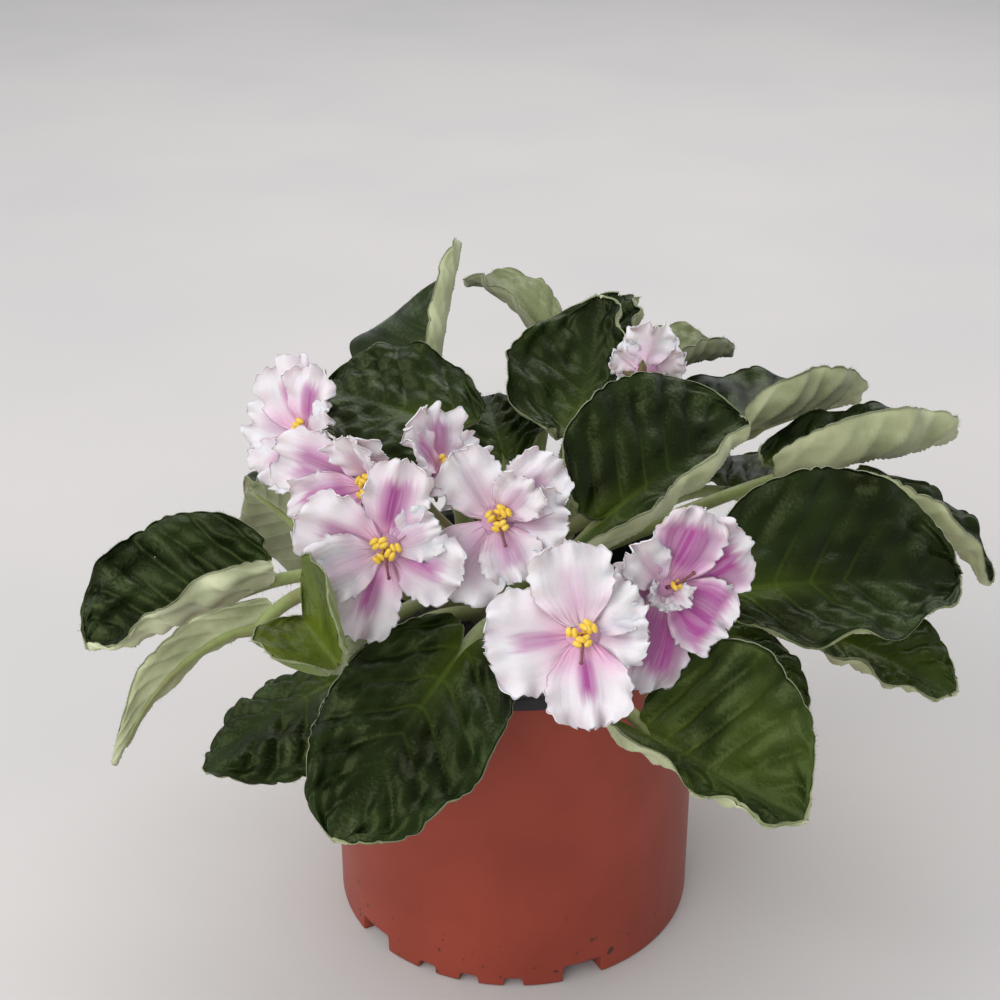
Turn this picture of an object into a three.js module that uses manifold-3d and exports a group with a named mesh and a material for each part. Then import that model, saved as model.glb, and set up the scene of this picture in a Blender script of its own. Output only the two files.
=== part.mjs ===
// A potted African violet in bloom: a thin plastic pot, its soil, a short crown, one solid for each
// leaf with its stalk, four flower sprays, and for each bloom its petals and its yellow anthers.
// Millimetres, +Z up. The origin is the middle of the pot's foot, on the ground, and -Y is the front.
import * as THREE from 'three';
import { mergeVertices } from 'three/addons/utils/BufferGeometryUtils.js';
import Module from 'manifold-3d';

const wasm = await Module();
wasm.setup();

// Pot, a round shell with a rolled lip and drainage notches round its foot
const POT_HEIGHT = 79;
const LIP_RADIUS = 45;
const LIP_HEIGHT = 3.6;
const LIP_ROUNDING = 0.6;
const LIP_BLEND = 2;
const MOUTH_STEP = 0.6;
const WALL_TOP_RADIUS = 42;
const FOOT_RADIUS = 42.2;
const FOOT_ROUNDING = 1.2;
const POT_WALL = 1.2;
const POT_SIDES = 32;
const WIDE_NOTCH = { turns: [-140.5, -68.5, 3.5, 75.5, 147.5], width: 9.2, height: 4.2, depth: 6.5 };
const SMALL_NOTCH = {
  turns: [-118.5, -104.5, -90.5, 25.5, 39.5, 53.5, 97.5, 111.5, 125.5],
  width: 4,
  height: 2.1,
  depth: 3,
};
const DRAIN_HOLE = { width: 5, depth: 2.6 };

// Soil and crown
const GAP = 0.3;
const SOIL_EDGE_HEIGHT = 68;
const SOIL_MIDDLE_HEIGHT = 72;
const SOIL_FLAT_RADIUS = 24;
const SOIL_SIDES = 20;
const CROWN_HOLE_DEPTH = 22;
const CROWN_RADIUS = 8;
const CROWN_SHOULDER = 80;
const CROWN_TOP = 95;
const CROWN_TAPER = 3.5;
const CROWN_SIDES = 12;

// Leaves
const LEAF_THICKNESS = 0.9;
const LEAF_ROWS = 7;
const CURLED_COLUMNS = 6;
const FLAT_COLUMNS = 4;
const CURL_LAW = 1.2;
const CURL_STEPS = 8;
const LEAF_SHAPE = { widest: 0.4, baseLoss: 0.42, taper: 0.56, tipShare: 0.1 };
const LEAF_LOBE = 0.22;
const LOBE_TURN = 0.62;
const LEFT_WAVE_LEAD = 1.7;
const STALK_FOOT_RADIUS = 1.9;
const STALK_FOOT_GAP = 0.6;
const STALK_BEND = { leave: 0.35, arrive: 0.4, drop: 1.2 };
const STALK_LAP = 2;
const STALK_TOP_RADIUS = 1.5;
const MIDRIB_END_RADIUS = 0.6;
const STALK_SIDES = 5;
const STALK_STEPS = 5;
const MIDRIB_SHARE = 0.36;

// Blooms
const PETAL_THICKNESS = 0.8;
const THROAT_RADIUS = 3.2;
const TUBE_RADIUS = 1.5;
const TUBE_LENGTH = 3;
const PEDUNCLE_RADIUS = 1.3;
const PEDICEL_RADIUS = 0.9;
const PETAL_ROOT = 1.8;
const PETAL_LAYERS = [-0.3, 0.7];
const PETAL_SHAPE = { widest: 0.6, root: 0.28, swell: 1, reach: 0.48, bluntness: 3 };
const PETAL_BOW = 0.6;
const PETAL_WAVE = [0.6, 3];
const PETAL_ROWS = 4;
const PETAL_COLUMNS = 2;
const THROAT_DEPTH = 1.4;
const THROAT_RISE = 0.9;
const THROAT_SIDES = 6;
const ANTHERS = { count: 3, radius: 1.6, spread: 0.8, rise: 1.76 };
const CALYX_DEPTH = 2.2;
const CALYX_RADIUS = 1.7;
const CALYX_STAR = { points: 5, outer: 4.8, inner: 1.9, rise: 0.6, thickness: 0.8, drop: 0.9 };
const PEDICEL_STRAIGHT = 5;
const PEDICEL_STEPS = 3;
const PEDICEL_SIDES = 4;
const PEDUNCLE_STEPS = 4;

const UP = new THREE.Vector3(0, 0, 1);
const vector = (list) => new THREE.Vector3(...list);
const radians = THREE.MathUtils.degToRad;
const lerp = THREE.MathUtils.lerp;

// Each leaf: where its blade starts and ends, the way its upper side faces, its width, how far the
// midrib bows up in the middle, how many degrees the left half turns up at its base and tip and the right
// half likewise, the height, number and start of the waves in its edge, how far its stalk rises on the way,
// and the height and direction in degrees at which the stalk leaves the crown. Some leaves also say how
// sharply they fold at the midrib (law: 1.2 curls evenly, a small value folds like a book), how far each
// lobe reaches back beyond the stalk (lobes), how bluntly each half ends (tapers, small is blunt) and how
// far the midrib bends sideways (sweep). A knee is a point that the stalk bends round, and arrive is the
// share of the stalk that comes in straight.
const LEAVES = {
  leaf_left: { base: [-57, -6, 84.5], tip: [-94.5, -15, 72.5], face: [0, -0.6, 0.8], width: [15, 23], bow: -2,
    curl: [150, 90, 20, 15], law: 0.45, lobes: [0.1, 0.1], wave: [1.4, 3, 0.3], tapers: [1.3, 0.38],
    root: [80, 184] },
  leaf_left_low: { base: [-56, -17, 81], tip: [-84.5, -42, 60.5], face: [-0.5, 0.85, 0.1], width: [7, 4],
    bow: 3, sweep: -5, curl: [20, 20, 20, 20], lobes: [0.1, 0.1], wave: [0.8, 3, 1], tapers: [1.2, 1.2],
    rise: 4, root: [76, 200] },
  leaf_left_back: { base: [-47, 14, 84], tip: [-62, 18, 96], face: [-0.3, 0.9, 0.3], width: [13, 13],
    bow: 2, curl: [15, 15, 15, 15], lobes: [0.3, 0.3], wave: [1, 3, 2], rise: 4, root: [76, 165] },
  leaf_young: { base: [-33.5, -70, 103], tip: [-42, -50, 101], face: [-0.74, -0.2, 0.64], width: [14, 18],
    bow: 0, curl: [88, 88, 56, 56], law: 0.35, lobes: [0.15, 0.15], wave: [0.5, 3, 0], tapers: [0.56, 0.3],
    knee: [-36, -44, 90], root: [84, 211] },
  leaf_front_left_low: { base: [-35.5, -38, 79.5], tip: [-62.5, -57, 69.5], face: [-0.25, -0.2, 0.95],
    width: [17, 14], bow: 2, curl: [-50, -50, -40, -40], wave: [1.2, 3, 1], tapers: [0.8, 0.9], rise: 8,
    root: [76, 232] },
  leaf_front_left: { base: [-13, -46, 88], tip: [-35, -77, 68], face: [-0.1, -0.75, 0.65], width: [18, 17],
    bow: 2, curl: [15, 15, 15, 15], lobes: [0.2, 0.2], wave: [1.4, 3, 0], root: [80, 255] },
  leaf_front_right: { base: [25.5, -60, 80.5], tip: [52.5, -85, 78.5], face: [-0.35, -0.65, 0.68],
    width: [25, 11], bow: 2, curl: [20, 20, 150, 80], law: 0.8, lobes: [0.1, 0.45], wave: [1.2, 3, 0.5],
    rise: 9, tapers: [0.6, 0.6], root: [76, 283] },
  leaf_right: { base: [49, -25, 93.5], tip: [96, -15, 91], face: [-0.05, -0.7, 0.71], width: [25, 18],
    bow: 2, curl: [20, 20, 40, 90], lobes: [0.14, 0.12], wave: [1.6, 3, 0.2], root: [84, 332] },
  leaf_right_low: { base: [69, -19, 77.5], tip: [93.5, -32, 72], face: [0.1, -0.5, 0.85], width: [13, 12],
    bow: 2, curl: [10, 10, 90, 60], wave: [1, 3, 0.7], rise: 7, tapers: [0.7, 0.7], root: [76, 345] },
  leaf_right_under: { base: [42, -24, 82], tip: [60, -40, 71], face: [0.2, -0.4, 0.85], width: [9, 13],
    bow: 2, curl: [15, 15, 15, 15], wave: [1, 3, 0], rise: 3, root: [76, 318] },
  leaf_far_right: { base: [84, 18, 94], tip: [109.5, 5, 78], face: [0.2, -0.1, 0.97], width: [12, 17], bow: 4,
    curl: [10, 10, 110, 80], wave: [1.4, 3, 0], rise: -8, root: [80, 6] },
  leaf_back_right: { base: [68, 26, 98], tip: [106, 36, 102], face: [0, -0.1, 1], width: [17, 23],
    bow: 0, curl: [25, 25, 130, 120], law: 1, wave: [1.6, 3, 0.5], root: [84, 27] },
  leaf_upper_right: { base: [56, 39, 102], tip: [86, 59, 101], face: [-0.1, 0.1, 1], width: [26, 20],
    bow: 1, curl: [25, 25, 110, 80], law: 0.9, lobes: [0.8, 0.1], wave: [1.4, 3, 0], root: [88, 44] },
  leaf_dome: { base: [36, 58, 109], tip: [55, 68, 110], face: [0, -0.2, 0.95], width: [13, 13], bow: 3,
    curl: [15, 15, 120, 110], wave: [0.8, 3, 0], root: [80, 50] },
  leaf_middle_right: { base: [19.6, -12, 104], tip: [50, 11, 117.5], face: [0.1, -0.75, 0.65],
    width: [23, 16], bow: 2, curl: [15, 15, 150, 150], lobes: [0.12, 0.5], wave: [1.4, 3, 0],
    root: [88, 345] },
  leaf_top: { base: [14.4, 22, 110], tip: [20, 49, 132], face: [-0.1, -0.6, 0.8], width: [20, 14], bow: -2,
    curl: [50, 20, 110, 100], lobes: [0.1, 0.1], wave: [1.4, 3, 0], tapers: [1, 0.5], root: [92, 52] },
  leaf_top_back: { base: [19, 46, 118], tip: [26, 64, 127], face: [-0.1, -0.4, 0.86], width: [10, 12], bow: 0,
    curl: [20, 20, 80, 80], wave: [1.2, 3, 0], root: [84, 66] },
  leaf_upper_left: { base: [-18.3, 5, 118.5], tip: [-43.5, 14, 123], face: [-0.05, -0.4, 0.9],
    width: [17, 18], bow: 1, curl: [15, 15, 15, 15], lobes: [0.35, 0.35], wave: [1.6, 3, 0],
    root: [88, 176] },
  leaf_back_left: { base: [-19.5, 36, 117], tip: [-13.5, 63, 141], face: [-0.3, -0.6, 0.74], width: [26, 8],
    bow: 1, curl: [0, -60, 140, 140], law: 0.5, lobes: [0.1, 0.1], wave: [1, 3, 0], tapers: [5, 0.4],
    root: [84, 122] },
  leaf_back: { base: [7, 56, 119], tip: [-11.5, 76, 126], face: [0, -0.1, 1], width: [10, 9], bow: 6,
    curl: [110, 60, 20, 20], wave: [1.2, 3, 0], arrive: 0.15, root: [88, 84] },
  leaf_middle_back: { base: [-3, 22, 104], tip: [-8, 42, 109], face: [0, -0.3, 0.95], width: [12, 12], bow: 2,
    curl: [20, 20, 20, 20], wave: [1.2, 3, 0], root: [88, 112] },
  leaf_behind_left: { base: [-40, 42, 88], tip: [-65, 61, 76], face: [-0.2, 0.2, 0.95], width: [17, 17],
    bow: 3, curl: [20, 20, 20, 20], wave: [1.4, 3, 0], rise: 4, root: [76, 134] },
  leaf_behind: { base: [-8, 60, 93], tip: [-14, 96, 80], face: [0, 0.35, 0.95], width: [19, 19], bow: 3,
    curl: [20, 20, 20, 20], wave: [1.4, 3, 1], rise: 2, root: [80, 100] },
  leaf_behind_right: { base: [28, 52, 90], tip: [46, 84, 76], face: [0.2, 0.3, 0.95], width: [18, 18], bow: 3,
    curl: [20, 20, 20, 20], wave: [1.4, 3, 2], root: [76, 72] },
  leaf_behind_far_right: { base: [56, 42, 84], tip: [84, 58, 70], face: [0.4, 0.2, 0.9], width: [17, 17],
    bow: 3, curl: [20, 20, 20, 20], wave: [1.4, 3, 3], rise: 4, root: [76, 36] },
};

// Each bloom: its middle, the way it faces, and its petals. A petal has its direction about the middle in
// degrees, anticlockwise from the bloom's right with the bloom seen from the front, its length and width,
// how many degrees it leans forward, and how many degrees its sides turn up.
const BLOOMS = {
  bloom_far_left: { middle: [-45, -6, 120], face: [-0.5, -0.65, 0.55], petals: [
    [128, 18, 16, 12, 20], [85, 15, 14, 18, 20], [178, 17, 14, 0, 10], [20, 11, 13, 25, 10],
    [250, 13, 16, 10, 10]] },
  bloom_left: { middle: [-29.5, -26, 117.8], face: [-0.45, -0.8, 0.35], petals: [
    [172, 22, 15, 10, 30], [215, 17, 15, 20, 20], [108, 13, 14, 40, -10], [50, 14, 14, 50, -10],
    [300, 10, 12, 10, 10]] },
  bloom_front_left: { middle: [-26, -42, 112], face: [0, -0.93, 0.37], petals: [
    [77, 18, 14, 12, 20], [160, 18, 16, 10, 10], [338, 16, 15, 10, 10], [252, 18, 14, 5, 10],
    [25, 12, 12, 15, 10], [200, 16, 14, 16, 20]] },
  bloom_back_left: { middle: [-15.5, -20, 118], face: [0.6, -0.3, 0.7], petals: [
    [60, 14, 13, 22, 10], [125, 14, 13, 22, 10], [195, 12, 13, 22, 10], [265, 10, 12, 22, 10],
    [345, 12, 13, 22, 10]] },
  bloom_middle: { middle: [-4, -34, 114], face: [0.1, -0.83, 0.55], petals: [
    [121, 16, 14, 15, 20], [46, 11, 12, 30, 20], [232, 18, 18, 8, 10], [285, 13, 14, 12, 10],
    [356, 14, 14, 12, 10], [40, 17, 14, 5, 10]] },
  bloom_front: { middle: [12, -65, 106], face: [0, -0.82, 0.57], petals: [
    [188, 18, 21, 10, 10], [102, 17, 17, 12, 15], [48, 13, 14, 10, 10], [275, 17, 17, 8, 10],
    [0, 12, 13, 5, 10]] },
  bloom_front_right: { middle: [28.4, -52, 109], face: [0.2, -0.9, 0.35], petals: [
    [243, 20, 19, 8, 10], [318, 14, 16, 20, 10], [26, 18, 17, 12, 20], [68, 17, 15, 20, 30],
    [172, 12, 12, 12, 20], [130, 13, 11, 25, 30]] },
  bloom_back: { middle: [29, 19, 125], face: [0.15, 0.95, 0.1], petals: [
    [100, 11, 12, 12, 10], [160, 9.5, 11, 12, 10], [30, 8, 10, 12, 10], [235, 7, 9, 10, 10],
    [300, 7, 9, 10, 10]] },
};

// Each spray: its stalk's points from the crown to the fork, and the blooms that it carries
const SPRAYS = {
  spray_left: { stalk: [[-6.1, -4, 89], [-14, -8, 96], [-22, -11, 104]],
    blooms: ['bloom_far_left', 'bloom_left'] },
  spray_middle: { stalk: [[-2.2, -6.8, 88], [-7, -16, 94], [-10, -20, 101]],
    blooms: ['bloom_front_left', 'bloom_back_left', 'bloom_middle'] },
  spray_right: { stalk: [[3.7, -6.1, 88], [9, -18, 92], [15, -30, 97]],
    blooms: ['bloom_front', 'bloom_front_right'] },
  spray_back: { stalk: [[6.2, 2, 92], [12, 7, 103], [20, 12, 113]], blooms: ['bloom_back'] },
};

// How wide a leaf or petal is along its length, as a share of its half width
function leafProfile(s, taper) {
  const { widest, baseLoss, tipShare } = LEAF_SHAPE;
  if (s < widest) return 1 - baseLoss * ((widest - s) / widest) ** 2;
  return Math.max(tipShare, (1 - ((s - widest) / (1 - widest)) ** 2) ** taper);
}

function petalProfile(s) {
  const { widest, root, swell, reach, bluntness } = PETAL_SHAPE;
  if (s < widest) return root + (1 - root) * Math.sin(((s / widest) * Math.PI) / 2) ** swell;
  return Math.sqrt(1 - ((s - widest) / reach) ** bluntness);
}

// A blade's start, its length, and its own directions: to the tip, out of its upper side, and to its right
function bladeFrame(blade) {
  const base = vector(blade.base);
  const along = vector(blade.tip).sub(base);
  const length = along.length();
  along.normalize();
  const face = vector(blade.face);
  face.addScaledVector(along, -face.dot(along)).normalize();
  return { base, length, along, face, side: along.clone().cross(face) };
}

// The middle surface of a blade: s runs from its base to its tip and t from its left edge to its right
function bladeSurface(blade, profile) {
  const { base, length, along, face, side } = bladeFrame(blade);
  const [waveHeight, waveCount, wavePhase] = blade.wave;
  const law = blade.law ?? CURL_LAW;
  const sweep = blade.sweep ?? 0;
  return (s, t) => {
    const share = Math.abs(t);
    const hand = t < 0 ? 0 : 1;
    const lobe = (blade.lobes ?? [LEAF_LOBE, LEAF_LOBE])[hand];
    const half = blade.width[hand] * profile(s, (blade.tapers ?? [LEAF_SHAPE.taper, LEAF_SHAPE.taper])[hand]);
    const [from, to] = t < 0 ? blade.curl.slice(0, 2) : blade.curl.slice(2);
    const turn = radians(lerp(from, to, s));
    let out = 0;
    let rise = 0;
    for (let i = 0; i < CURL_STEPS; i += 1) {
      const angle = turn * ((share * (i + 0.5)) / CURL_STEPS) ** law;
      out += (Math.cos(angle) * half * share) / CURL_STEPS;
      rise += (Math.sin(angle) * half * share) / CURL_STEPS;
    }
    const edgeAngle = turn * share ** law;
    const phase = wavePhase + (t < 0 ? LEFT_WAVE_LEAD : 0);
    const wave = waveHeight * share ** 2 * Math.sin(2 * Math.PI * waveCount * s + phase);
    const back = lobe * length * (1 - s) ** 3 * Math.sin(Math.PI * LOBE_TURN * share);
    const sign = Math.sign(t);
    return base.clone()
      .addScaledVector(along, length * s - back)
      .addScaledVector(face, blade.bow * 4 * s * (1 - s) + rise + wave * Math.cos(edgeAngle))
      .addScaledVector(side, sign * (out - wave * Math.sin(edgeAngle)) + sweep * 4 * s * (1 - s));
  };
}

// A closed sheet of even thickness about a surface, with both faces split into triangles alike
function sheetGeometry(surface, rows, columns, thickness) {
  const step = 0.01;
  const faces = [[], []];
  for (let i = 0; i <= rows; i += 1) {
    for (let j = 0; j <= columns; j += 1) {
      const s = i / rows;
      const t = -1 + (2 * j) / columns;
      const alongStep = surface(Math.min(1, s + step), t).sub(surface(Math.max(0, s - step), t));
      const acrossStep = surface(s, Math.min(1, t + step)).sub(surface(s, Math.max(-1, t - step)));
      const normal = alongStep.cross(acrossStep).normalize().multiplyScalar(thickness / 2);
      const point = surface(s, t);
      faces[0].push(point.clone().sub(normal));
      faces[1].push(point.clone().add(normal));
    }
  }
  const count = faces[0].length;
  const positions = faces.flat().flatMap((point) => point.toArray());
  const index = [];
  const width = columns + 1;
  for (let i = 0; i < rows; i += 1) {
    for (let j = 0; j < columns; j += 1) {
      const a = i * width + j;
      const b = a + 1;
      const c = a + width;
      const d = c + 1;
      index.push(a, b, d, a, d, c);
      index.push(count + a, count + d, count + b, count + a, count + c, count + d);
    }
  }
  const rim = [];
  for (let j = 0; j < columns; j += 1) rim.push(j);
  for (let i = 0; i < rows; i += 1) rim.push(i * width + columns);
  for (let j = columns; j > 0; j -= 1) rim.push(rows * width + j);
  for (let i = rows; i > 0; i -= 1) rim.push(i * width);
  rim.forEach((a, k) => {
    const b = rim[(k + 1) % rim.length];
    index.push(a, count + a, count + b, a, count + b, b);
  });
  return bufferGeometry(positions, index);
}

function bufferGeometry(positions, index) {
  const geometry = new THREE.BufferGeometry();
  geometry.setAttribute('position', new THREE.Float32BufferAttribute(positions, 3));
  geometry.setIndex(index);
  return geometry;
}

// A round stem through the points of a path, with its own radius at each and flat ends
function stemGeometry(points, radii, sides) {
  const positions = [];
  const index = [];
  const count = points.length;
  let normal = null;
  points.forEach((point, i) => {
    const before = points[Math.max(0, i - 1)];
    const after = points[Math.min(count - 1, i + 1)];
    const tangent = after.clone().sub(before).normalize();
    if (normal === null) {
      normal = Math.abs(tangent.z) < 0.9 ? UP.clone() : new THREE.Vector3(1, 0, 0);
    }
    normal.addScaledVector(tangent, -normal.dot(tangent)).normalize();
    const other = tangent.clone().cross(normal);
    for (let k = 0; k < sides; k += 1) {
      const angle = (2 * Math.PI * k) / sides;
      const corner = point.clone()
        .addScaledVector(normal, radii[i] * Math.cos(angle))
        .addScaledVector(other, radii[i] * Math.sin(angle));
      positions.push(...corner.toArray());
    }
  });
  for (let i = 0; i < count - 1; i += 1) {
    for (let k = 0; k < sides; k += 1) {
      const a = i * sides + k;
      const b = i * sides + ((k + 1) % sides);
      index.push(a, b, b + sides, a, b + sides, a + sides);
    }
  }
  const last = (count - 1) * sides;
  for (let k = 1; k < sides - 1; k += 1) {
    index.push(0, k + 1, k);
    index.push(last, last + k, last + k + 1);
  }
  return bufferGeometry(positions, index);
}

function solid(geometry) {
  const bare = geometry.clone();
  bare.deleteAttribute('normal');
  bare.deleteAttribute('uv');
  const merged = mergeVertices(bare, 1e-4);
  return new wasm.Manifold(new wasm.Mesh({
    numProp: 3,
    vertProperties: new Float32Array(merged.attributes.position.array),
    triVerts: new Uint32Array(merged.index.array),
  }));
}

function joined(geometries) {
  return geometries.map(solid).reduce((whole, piece) => whole.add(piece));
}

function meshOf(name, manifold, material) {
  const { vertProperties, triVerts } = manifold.getMesh();
  const mesh = new THREE.Mesh(bufferGeometry([...vertProperties], [...triVerts]), material);
  mesh.name = name;
  return mesh;
}

function crownRadius(height) {
  if (height < CROWN_SHOULDER) return CROWN_RADIUS;
  return CROWN_RADIUS - CROWN_TAPER * ((height - CROWN_SHOULDER) / (CROWN_TOP - CROWN_SHOULDER)) ** 1.5;
}

function leafStalk(leaf) {
  const { base, length, along, face, side } = bladeFrame(leaf);
  const [height, turn] = leaf.root;
  const out = new THREE.Vector3(Math.cos(radians(turn)), Math.sin(radians(turn)), 0);
  const foot = out.clone().multiplyScalar(crownRadius(height) + STALK_FOOT_GAP).setZ(height);
  const reach = foot.distanceTo(base);
  const rise = leaf.rise ?? 0;
  const arrive = leaf.knee ? vector(leaf.knee) : base.clone()
    .addScaledVector(along, -(leaf.arrive ?? STALK_BEND.arrive) * reach)
    .addScaledVector(face, -STALK_BEND.drop);
  if (!leaf.knee) arrive.z += rise;
  const leave = foot.clone().addScaledVector(out, STALK_BEND.leave * reach);
  leave.z += rise;
  const end = base.clone().addScaledVector(along, STALK_LAP).addScaledVector(face, -0.6 * STALK_TOP_RADIUS);
  const curve = new THREE.CubicBezierCurve3(foot, leave, arrive, end);
  const points = curve.getPoints(STALK_STEPS);
  const radii = points.map((_, i) => lerp(STALK_FOOT_RADIUS, STALK_TOP_RADIUS, i / STALK_STEPS));
  const arch = 4 * MIDRIB_SHARE * (1 - MIDRIB_SHARE);
  points.push(base.clone().addScaledVector(along, length * MIDRIB_SHARE)
    .addScaledVector(face, leaf.bow * arch - 0.3)
    .addScaledVector(side, (leaf.sweep ?? 0) * arch));
  radii.push(MIDRIB_END_RADIUS);
  return stemGeometry(points, radii, STALK_SIDES);
}

function leafSolid(leaf) {
  const columns = Math.max(...leaf.curl.map(Math.abs)) > 40 ? CURLED_COLUMNS : FLAT_COLUMNS;
  const blade = sheetGeometry(bladeSurface(leaf, leafProfile), LEAF_ROWS, columns, LEAF_THICKNESS);
  return joined([blade, leafStalk(leaf)]);
}

// The bloom's own right, up and forward directions
function bloomAxes(bloom) {
  const forward = vector(bloom.face).normalize();
  const up = UP.clone().addScaledVector(forward, -forward.z).normalize();
  return { forward, up, right: up.clone().cross(forward) };
}

function around({ right, up }, angle) {
  return right.clone().multiplyScalar(Math.cos(angle)).addScaledVector(up, Math.sin(angle));
}

function petalGeometry(bloom, axes, [turn, length, width, lean, curl], number) {
  const out = around(axes, radians(turn));
  const middle = vector(bloom.middle);
  const layer = number % 2 === 0 ? PETAL_LAYERS[0] : PETAL_LAYERS[1];
  const base = middle.clone().addScaledVector(out, PETAL_ROOT).addScaledVector(axes.forward, layer);
  const tip = middle.clone()
    .addScaledVector(axes.forward, layer)
    .addScaledVector(out, length * Math.cos(radians(lean)))
    .addScaledVector(axes.forward, length * Math.sin(radians(lean)));
  const blade = { base: base.toArray(), tip: tip.toArray(), face: axes.forward.toArray(),
    width: [width / 2, width / 2], bow: PETAL_BOW, curl: [curl, curl, curl, curl], lobes: [0, 0],
    wave: [...PETAL_WAVE, number * 1.3] };
  return sheetGeometry(bladeSurface(blade, petalProfile), PETAL_ROWS, PETAL_COLUMNS, PETAL_THICKNESS);
}

function corollaSolid(bloom) {
  const axes = bloomAxes(bloom);
  const middle = vector(bloom.middle);
  const petals = bloom.petals.map((petal, number) => petalGeometry(bloom, axes, petal, number));
  const path = [-TUBE_LENGTH, -THROAT_DEPTH, THROAT_RISE].map((depth) => (
    middle.clone().addScaledVector(axes.forward, depth)));
  const throat = stemGeometry(path, [TUBE_RADIUS, TUBE_RADIUS, THROAT_RADIUS], THROAT_SIDES);
  return joined([throat, ...petals]);
}

function antherSolid(bloom) {
  const axes = bloomAxes(bloom);
  const middle = vector(bloom.middle);
  const pieces = [];
  for (let i = 0; i < ANTHERS.count; i += 1) {
    const centre = middle.clone()
      .addScaledVector(axes.forward, THROAT_RISE + GAP + ANTHERS.rise)
      .addScaledVector(around(axes, (2 * Math.PI * i) / ANTHERS.count + 0.4), ANTHERS.spread);
    const geometry = new THREE.OctahedronGeometry(ANTHERS.radius, 0);
    pieces.push(geometry.translate(centre.x, centre.y, centre.z));
  }
  return joined(pieces);
}

// A flat star with its points turned a little forward
function starGeometry(seat, axes) {
  const positions = [];
  const index = [];
  const rim = 2 * CALYX_STAR.points;
  for (const height of [-CALYX_STAR.thickness / 2, CALYX_STAR.thickness / 2]) {
    const middle = seat.clone().addScaledVector(axes.forward, height - CALYX_STAR.drop);
    positions.push(...middle.toArray());
    for (let k = 0; k < rim; k += 1) {
      const [radius, rise] = k % 2 === 0 ? [CALYX_STAR.outer, CALYX_STAR.rise] : [CALYX_STAR.inner, 0];
      const corner = middle.clone()
        .addScaledVector(around(axes, (2 * Math.PI * (k + 0.5)) / rim), radius)
        .addScaledVector(axes.forward, rise);
      positions.push(...corner.toArray());
    }
  }
  const top = rim + 1;
  for (let k = 0; k < rim; k += 1) {
    const a = 1 + k;
    const b = 1 + ((k + 1) % rim);
    index.push(0, b, a, top, top + a, top + b);
    index.push(a, b, top + b, a, top + b, top + a);
  }
  return bufferGeometry(positions, index);
}

// The green star behind a bloom, with the short stalk that joins it to the fork
function calyxGeometries(bloom, fork) {
  const axes = bloomAxes(bloom);
  const seat = vector(bloom.middle).addScaledVector(axes.forward, -(TUBE_LENGTH + GAP));
  const heel = seat.clone().addScaledVector(axes.forward, -CALYX_DEPTH);
  const pieces = [stemGeometry([heel, seat], [PEDICEL_RADIUS, CALYX_RADIUS], THROAT_SIDES)];
  pieces.push(starGeometry(seat, axes));
  const back = heel.clone().addScaledVector(axes.forward, -PEDICEL_STRAIGHT);
  const path = new THREE.CubicBezierCurve3(fork, fork.clone().lerp(back, 0.4).addScaledVector(UP, 1.5), back,
    heel.clone().addScaledVector(axes.forward, 0.8)).getPoints(PEDICEL_STEPS);
  pieces.push(stemGeometry(path, path.map(() => PEDICEL_RADIUS), PEDICEL_SIDES));
  return pieces;
}

function spraySolid(spray) {
  const points = spray.stalk.map(vector);
  const curve = new THREE.CatmullRomCurve3(points).getPoints(PEDUNCLE_STEPS);
  const fork = points[points.length - 1];
  const stalk = stemGeometry(curve, curve.map(() => PEDUNCLE_RADIUS), STALK_SIDES);
  const knot = new THREE.IcosahedronGeometry(PEDUNCLE_RADIUS * 1.3, 0).translate(fork.x, fork.y, fork.z);
  const heads = spray.blooms.flatMap((name) => calyxGeometries(BLOOMS[name], fork));
  return joined([stalk, knot, ...heads]);
}

// A solid of revolution about the pot's axis from its outline, given as pairs of radius and height
function turned(outline, sides) {
  const geometry = new THREE.LatheGeometry(outline.map(([r, z]) => new THREE.Vector2(r, z)), sides);
  return solid(geometry.rotateX(Math.PI / 2));
}

function footNotches(notch, grow) {
  const pieces = [];
  for (const turn of notch.turns) {
    const depth = notch.depth + grow + 4;
    const box = new THREE.BoxGeometry(depth, notch.width + 2 * grow, 2 * (notch.height + grow));
    box.translate(FOOT_RADIUS + 4 - depth / 2, 0, 0);
    box.rotateZ(radians(turn));
    pieces.push(solid(box));
  }
  return pieces.reduce((whole, piece) => whole.add(piece));
}

function drainHoles() {
  const pieces = [];
  for (const turn of WIDE_NOTCH.turns) {
    const box = new THREE.BoxGeometry(DRAIN_HOLE.depth, DRAIN_HOLE.width, 6);
    box.translate(FOOT_RADIUS - WIDE_NOTCH.depth + DRAIN_HOLE.depth / 2 + 0.6, 0, WIDE_NOTCH.height);
    box.rotateZ(radians(turn));
    pieces.push(solid(box));
  }
  return pieces.reduce((whole, piece) => whole.add(piece));
}

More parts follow.
